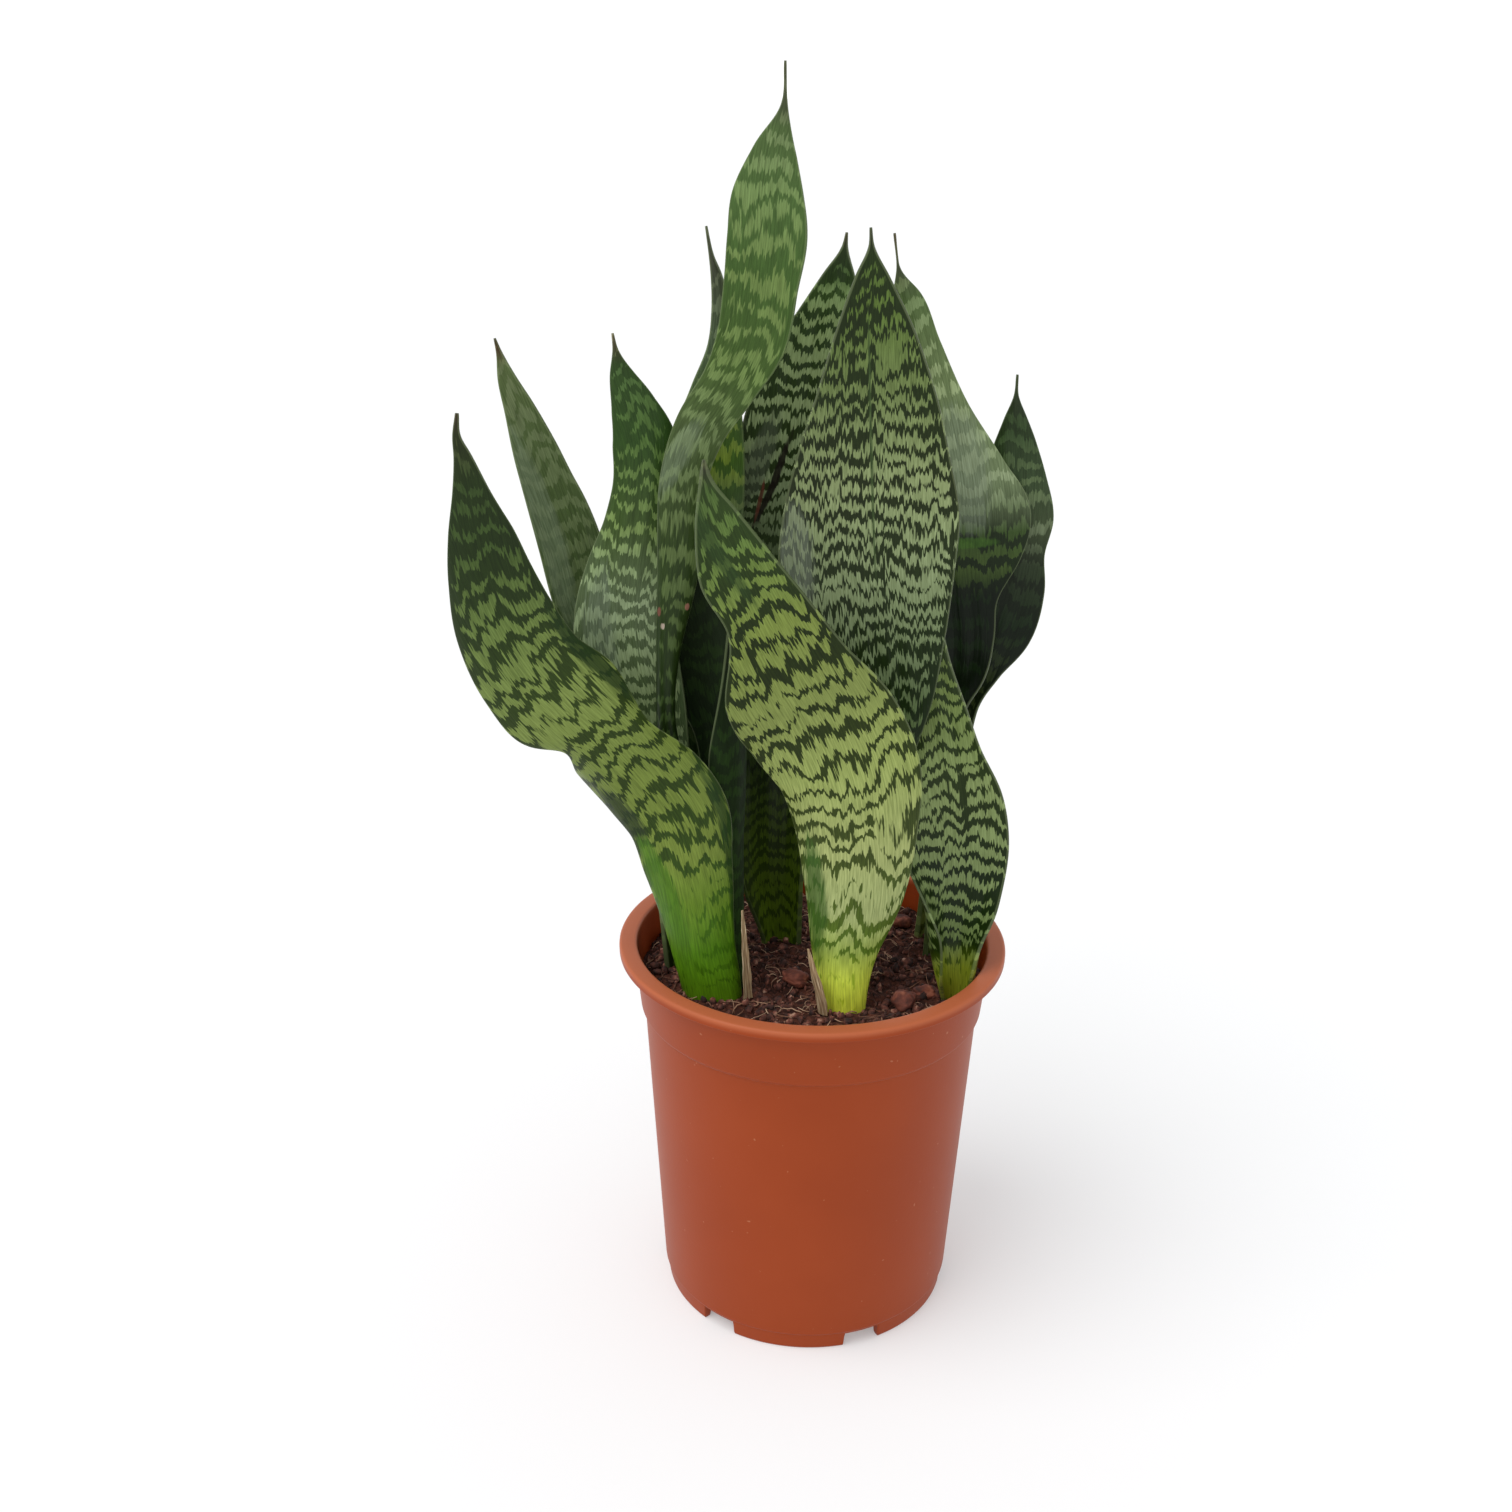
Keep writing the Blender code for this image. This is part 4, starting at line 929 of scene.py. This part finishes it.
# ------------------------------
# The narrow leaf behind the tallest one, grey-green, with a yellower stretch where the light comes through.
leaf(
    "leaf_back_left_tall",
    stations=[
        (-30.5, 12, 104, 5.5, 5.5, 0, 60, 60),
        (-31.2, 12.5, 130, 5.8, 5.8, 0, 60, 60),
        (-37, 16, 180, 8, 8, 0, 60, 60),
        (-42.5, 17.5, 215, 8, 6.5, 0, 50, 50),
        (-43.5, 18, 240, 10, 8.7, 0, 40, 40),
        (-42.5, 18, 262, 11, 12, 0, 30, 30),
        (-40.5, 17.5, 285, 12, 13.5, 0, 25, 25),
        (-39, 17, 305, 12, 12.8, 0, 20, 20),
        (-38.5, 16.5, 322, 11.5, 11.7, 0, 15, 15),
        (-38, 16.3, 336, 6.5, 9.5, 0, 10, 10),
        (-36.5, 16.3, 350, 2.5, 5.5, 0, 10, 10),
        (-35.5, 16.5, 362, 2.2, 3.5, 0, 10, 10),
        (-36.2, 17, 372, 1.8, 2, 0, 10, 10),
        (-37.7, 17.3, 378, 0.9, 0.9, 0, 10, 10),
        (-39.5, 17.8, 387.5, 0.4, 0.4, 0, 10, 10),
    ],
    tones=[
        (131, "#324910", "#213509", 0.5),
        (230, "#4B5F37", "#2F4222", 0.5),
        (290, "#647454", "#48593A", 0.5),
        (312, "#7C9434", "#44641E", 0.45),
        (350, "#687A58", "#4C5E40", 0.5),
        (376, "#5E624E", "#444738", 0.5),
    ],
    period=8.0,
)


# ------------------------------
# The leaf behind the broad one in the middle, split by a dry brown crack low on its left side.
leaf(
    "leaf_back_centre",
    stations=[
        (-11.5, 19.5, 104, 7.5, 7.5, 0, 60, 60),
        (-11.5, 20, 130, 8, 8.2, 0, 60, 60),
        (-12.5, 20.5, 155, 16, 10, 0, 60, 60),
        (-12.5, 21, 185, 19, 11.5, 0, 50, 50),
        (-11, 22.5, 230, 20.5, 13.5, 0, 30, 40),
        (-7, 23.5, 260, 24, 16, 0, 15, 30),
        (-4, 24, 285, 25.5, 19, 0, 10, 25),
        (-3, 24.2, 299, 26.5, 20, 0, 15, 25),
        (-3, 24.2, 312, 26.5, 21, 0, 20, 25),
        (-2.5, 24, 325, 25, 20, 0, 25, 25),
        (-1, 24.5, 342, 19, 16, 0, 20, 20),
        (2, 25, 358, 12.2, 10, 0, 20, 20),
        (4.3, 25.3, 372, 5.7, 5, 0, 20, 20),
        (5.5, 25.5, 381, 1, 1, 0, 20, 20),
        (6, 25.6, 385.5, 0.4, 0.4, 0, 20, 20),
    ],
    tones=[
        (131, "#5E7814", "#374D08", 0.3),
        # The darker tones near 200 mm are painted shade behind the leaves in front of it.
        (200, "#2E4014", "#172606", 0.5),
        (270, "#566743", "#3A4A29", 0.5),
        (300, "#8C9D74", "#2C3C18", 0.42),
        (330, "#93A573", "#2B3C18", 0.50),
        (358, "#8CA169", "#2E431B", 0.50),
        (366, "#87A066", "#3A5222", 0.30),
        (371, "#56703C", "#2B3F1A", 0.66),
        (380, "#4C6138", "#2B3B1A", 0.66),
        (384, "#60523B", "#3F3426", 0.5),
    ],
    period=5.5,
    wave=(10.0, 5.0, 5.5),
    patches=[
        (-20.0, 309.0, 4.5, 20.0, -19.0, "#59634F", 0.6),
        (-14.0, 303.0, 1.4, 19.0, -19.0, "#1D1610", 0.95),
        (-18.5, 296.0, 0.7, 9.0, -8.0, "#6B3A2C", 0.9),
    ],
)


# ------------------------------
# The broad leaf behind the middle one on the right, smooth and grey with painted sheen above, and near
# black with painted shade below.
leaf(
    "leaf_right_back",
    stations=[
        (46, 13, 104, 6.5, 6.5, 0, 60, 60),
        (48, 14.5, 130, 7, 7, 0, 60, 60),
        (48.5, 18, 170, 7.5, 7.5, 0, 60, 60),
        (48, 22, 205, 7, 7, 0, 60, 60),
        (47, 25.5, 222, 6.5, 7.5, 0, 60, 60),
        (47.5, 26.5, 235, 10, 13, 0, 40, 40),
        (47.5, 27.5, 248, 12.5, 15, 0, 20, 20),
        (46, 28.5, 260, 15.5, 17, 0, 10, 10),
        (44.5, 29.5, 275, 22, 26.5, 0, -10, -15),
        (43.5, 31, 290, 26, 30, 0, -20, -20),
        (41, 32, 305, 24, 23, 0, -20, -25),
        (36.5, 33.5, 325, 18, 14, 0, -25, -25),
        (30.5, 35.5, 348, 11, 8.5, 0, -25, -25),
        (26, 37, 364, 4.5, 5.7, 0, -25, -25),
        (24, 37.5, 372, 1, 1, 0, -20, -20),
        (22, 38.3, 384.5, 0.4, 0.4, 0, -20, -20),
    ],
    tones=[
        (131, "#4C6416", "#304409", 0.4),
        # The near black tones from 225 to 262 mm are painted shade deep among the leaves.
        (225, "#0F2107", "#071303", 0.5),
        (262, "#0E2106", "#061403", 0.55),
        (272, "#415424", "#17260B", 0.45),
        (284, "#3A5022", "#1A280E", 0.55),
        # The pale grey tones from 300 to 335 mm are painted sheen.
        (300, "#93A27C", "#73835E", 0.45),
        (335, "#9CAD7C", "#708254", 0.45),
        (362, "#7C9160", "#566C3C", 0.5),
        (374, "#616847", "#424735", 0.5),
        (383, "#6F4F3E", "#4C372A", 0.5),
    ],
    period=8.0,
    wave=(10.0, 5.0, 6.0),
    patches=[
        # The wide grey oval is painted sheen.
        (8.0, 306.0, 9.0, 22.0, 0.0, "#7E8A78", 0.4),
        (6.0, 281.0, 12.0, 2.0, 0.0, "#456C22", 0.6),
    ],
)


# ------------------------------
# The leaf at the far right, nipped in near its middle. Its dark lower half is painted shade among the
# leaves.
leaf(
    "leaf_far_right",
    stations=[
        (42, 27, 104, 6, 6, 0, 60, 60),
        (45, 28.5, 130, 6.5, 6.5, 0, 60, 60),
        (48, 32, 170, 6.5, 6.5, 0, 50, 50),
        (51.5, 35, 208, 5.5, 5.5, 0, 50, 50),
        (53.5, 36, 222, 6.5, 6.5, 0, 40, 40),
        (57, 37, 234, 9, 10, 0, 30, 30),
        (62, 38, 248, 12, 15, 0, 15, 15),
        (66, 39, 264, 12.5, 14.5, 0, 10, 10),
        (67.5, 40.5, 276, 11.5, 12.3, 0, -10, -10),
        (68.5, 41.5, 288, 11.5, 14, 0, -20, -20),
        (68.5, 42.5, 302, 10.5, 10.5, 0, -20, -20),
        (68, 43.5, 314, 8.5, 6.5, 0, -20, -20),
        (67, 44.5, 323, 4.2, 3.5, 0, -20, -20),
        (66.5, 45, 330, 0.9, 0.9, 0, -20, -20),
        (66.5, 45.5, 337.5, 0.4, 0.4, 0, -20, -20),
    ],
    tones=[
        (131, "#717E3B", "#445317", 0.3),
        # The dark tones from 215 to 272 mm are painted shade.
        (215, "#3D4823", "#17230B", 0.5),
        (250, "#13270C", "#0A1905", 0.55),
        (272, "#2F3C25", "#1D2715", 0.5),
        (284, "#697658", "#3F4B30", 0.5),
        (300, "#5C6E48", "#384A2C", 0.5),
        (318, "#374C29", "#263719", 0.55),
        (336, "#3B452C", "#2C3422", 0.5),
    ],
    period=7.5,
)


# ------------------------------
# The short leaf at the front right, rolled almost shut at its foot and opening upwards.
leaf(
    "leaf_right_front",
    stations=[
        (47, -18.5, 104, 6.5, 6.5, 0, 80, 80),
        (51, -20.5, 130, 6.5, 6.5, 0, 90, 90),
        (50.3, -18.5, 142, 14.5, 12.5, 0, 130, 110),
        (50, -16, 154, 22, 14, 0, 140, 80),
        (51, -14.5, 168, 22.5, 15.5, 0, 100, 50),
        (50.5, -12.5, 186, 23.5, 17.5, 0, 60, 35),
        (49, -10.5, 202, 19, 15.8, 0, 45, 30),
        (46.5, -7.6, 218, 13, 10, 0, 15, 30),
        (43.5, -5, 233, 9.8, 7.2, 0, 0, 30),
        (41, -3.5, 247, 6.5, 4.2, 0, 0, 30),
        (37, -2.5, 265, 3.5, 3, 0, 30, 30),
        (34, -0.5, 278, 0.9, 0.9, 0, 20, 20),
        (33, 0, 284, 0.4, 0.4, 0, 20, 20),
    ],
    tones=[
        (131, "#929D29", "#657411", 0.1),
        (141, "#8F9D2C", "#566B0D", 0.15),
        (150, "#70854C", "#1A2C06", 0.5),
        (175, "#7B8C5A", "#132404", 0.46),
        (205, "#879860", "#26350E", 0.42),
        (240, "#7E9250", "#2F4019", 0.42),
        (276, "#677A42", "#32411D", 0.5),
        (282, "#655E41", "#353124", 0.5),
    ],
    foot=3.6,
    period=5.6,
    wave=(9.0, 5.0, 5.5),
)


# ------------------------------
# The broadest leaf, in the middle, the palest and most finely banded, with a dark line up its middle.
leaf(
    "leaf_centre",
    stations=[
        (13, -15, 104, 7.5, 7.5, 0, -60, -60),
        (13, -14.5, 130, 8, 8, 0, -60, -60),
        (14.5, -13.5, 165, 9, 9, 0, -50, -50),
        (17, -12.5, 200, 11, 12, 0, -30, -30),
        (19.5, -11.5, 222, 12, 15, 0, -10, -10),
        (20, -11, 240, 16, 19.5, 0, 10, 10),
        (18, -10.5, 260, 21, 24.5, 0, 20, 15),
        (15.5, -9.5, 285, 30, 29, 0, 25, 20),
        (15, -9, 300, 28.5, 30, 0, 25, 20),
        (14.5, -8.5, 320, 24, 26.5, 0, 30, 25),
        (14, -8, 340, 17, 21.5, 0, 30, 25),
        (13.7, -7.5, 360, 10.6, 14, 0, 30, 30),
        (13.5, -7, 375, 5, 6, 0, 30, 30),
        (13.4, -6.8, 384, 0.9, 0.9, 0, 20, 20),
        (13, -6.5, 389.5, 0.4, 0.4, 0, 20, 20),
    ],
    tones=[
        (131, "#597517", "#395208", 0.3),
        (215, "#496427", "#152905", 0.62),
        (245, "#6C7D57", "#172805", 0.55),
        (280, "#88976D", "#222F11", 0.46),
        (310, "#8E9C6C", "#212B0E", 0.46),
        (340, "#6D7E4A", "#1F2D0B", 0.46),
        (365, "#5A7131", "#1E2C0B", 0.56),
        (382, "#4F662D", "#21310C", 0.55),
        (387, "#404030", "#232318", 0.5),
    ],
    period=6.2,
    wave=(12.0, 8.0, 9.5),
    jumps=4.5,
    patches=[
        # The grey oval on the left is a painted sheen.
        (-24.0, 288.0, 6.0, 18.0, 6.0, "#808A78", 0.5),
        (1.0, 320.0, 0.5, 45.0, 2.0, "#3A4E28", 0.8),
    ],
)


# ------------------------------
# The leaf in the middle of the front. It rises from a bright yellow-green foot, twists to the left over its
# upper half and ends in a fold.
leaf(
    "leaf_front",
    stations=[
        (12, -34.5, 104, 7, 7, 0, -75, -75),
        (12.2, -35, 130, 8.8, 8, 0, -75, -70),
        (11.5, -35, 150, 13, 12, 0, -60, -50),
        (13.5, -35, 175, 18.5, 18.5, 0, -50, -30),
        (13, -35, 200, 23, 22, 0, -50, -15),
        (10.5, -35.5, 217, 23.5, 24.5, 0, -25, -5),
        (3, -36, 236, 26.5, 24.5, 0, -10, 10),
        (-7, -37, 254, 25.5, 19.5, 0, 10, 15),
        (-17, -38, 273, 13.5, 16, 0, 25, 25),
        (-26, -38, 290, 13.5, 12, 0, 35, 30),
        (-33, -38, 306, 6.8, 7.5, 0, 40, 40),
        (-36.3, -38, 319, 1.2, 1.5, 0, 40, 40),
        (-36.5, -38, 323, 0.5, 0.5, 0, 20, 20),
    ],
    tones=[
        (131, "#EEFB50", "#DDEE38", 0.05),
        (142, "#DFF056", "#AECA3A", 0.12),
        (154, "#A0B558", "#5B7724", 0.4),
        (168, "#A7B376", "#4E621D", 0.36),
        (190, "#A5AF6F", "#3E4B19", 0.3),
        (220, "#99A75E", "#2D3A0D", 0.33),
        (245, "#808D4B", "#222F06", 0.38),
        (270, "#7B8B41", "#1E2B06", 0.45),
        (295, "#617A3A", "#2A3D13", 0.50),
        (314, "#4C6531", "#2F4319", 0.5),
        (321, "#4E5136", "#2D2E21", 0.5),
    ],
    period=8.5,
    wave=(20.0, 8.0, 8.0),
    patches=[
        (-12.5, 172.0, 4.4, 26.0, 8.0, "#3A5E1E", 0.8),
        (-5.0, 300.0, 3.0, 24.0, 10.0, "#2C421C", 0.7),
    ],
)


# ------------------------------
# The dry sheaths: brown papery bracts left standing at two of the leaf feet, thin, curled and torn.
SHEATH_THICK = 0.5
SHEATH_CURL = (0.7, 9.0)


def sheath(name, stations):
    """A papery bract: a thin blade whose margins curl in and out along its length."""
    points, places, _ = blade_surface(stations, SHEATH_THICK, SHEATH_THICK, SHEATH_CURL, 0.0, 80, 21)
    faces = capped(*points.shape[:2])
    piece = mesh_piece(name + "_paper", points.reshape(-1, 3), faces, papery, places.reshape(-1, 2))
    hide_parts(name)
    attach(piece, "root")


papery, tree, shader = new_material("dried bract", roughness=0.75)
place_on = add_node(tree, "UVMap", uv_map="blade").outputs["UV"]
lengthways = add_node(tree, "Mapping", {"Vector": place_on, "Scale": (1.6, 0.12, 1.0)}).outputs["Vector"]
veins = add_node(tree, "TexNoise", {"Vector": lengthways, "Scale": 1.0, "Detail": 4.0}).outputs["Fac"]
straw = ramp(tree, veins, (0.3, "#4E3422"), (0.5, "#A08460"), (0.7, "#D8C6A4"))
tree.links.new(straw, shader.inputs["Base Color"])
roughen(tree, shader, veins, 0.5, 0.0005)
sheath(
    "dry_sheath_front",
    stations=[
        (4, -37.5, 130.4, 2.6, 2.6, -45, -30, -30),
        (3, -38, 137, 2.4, 2.8, -45, -30, -30),
        (0.6, -38, 147, 1.6, 2, -45, -30, -30),
        (-1.2, -38, 156, 0.5, 0.5, -45, -30, -30),
    ],
)
sheath(
    "dry_sheath_left",
    stations=[
        (-22.4, -28.5, 130.4, 2.2, 2.4, 50, 30, 30),
        (-22.8, -28, 140, 2, 2.2, 50, 30, 30),
        (-23.6, -27, 152, 1.4, 1.5, 50, 30, 30),
        (-24.3, -26, 164, 0.5, 0.5, 50, 30, 30),
    ],
)
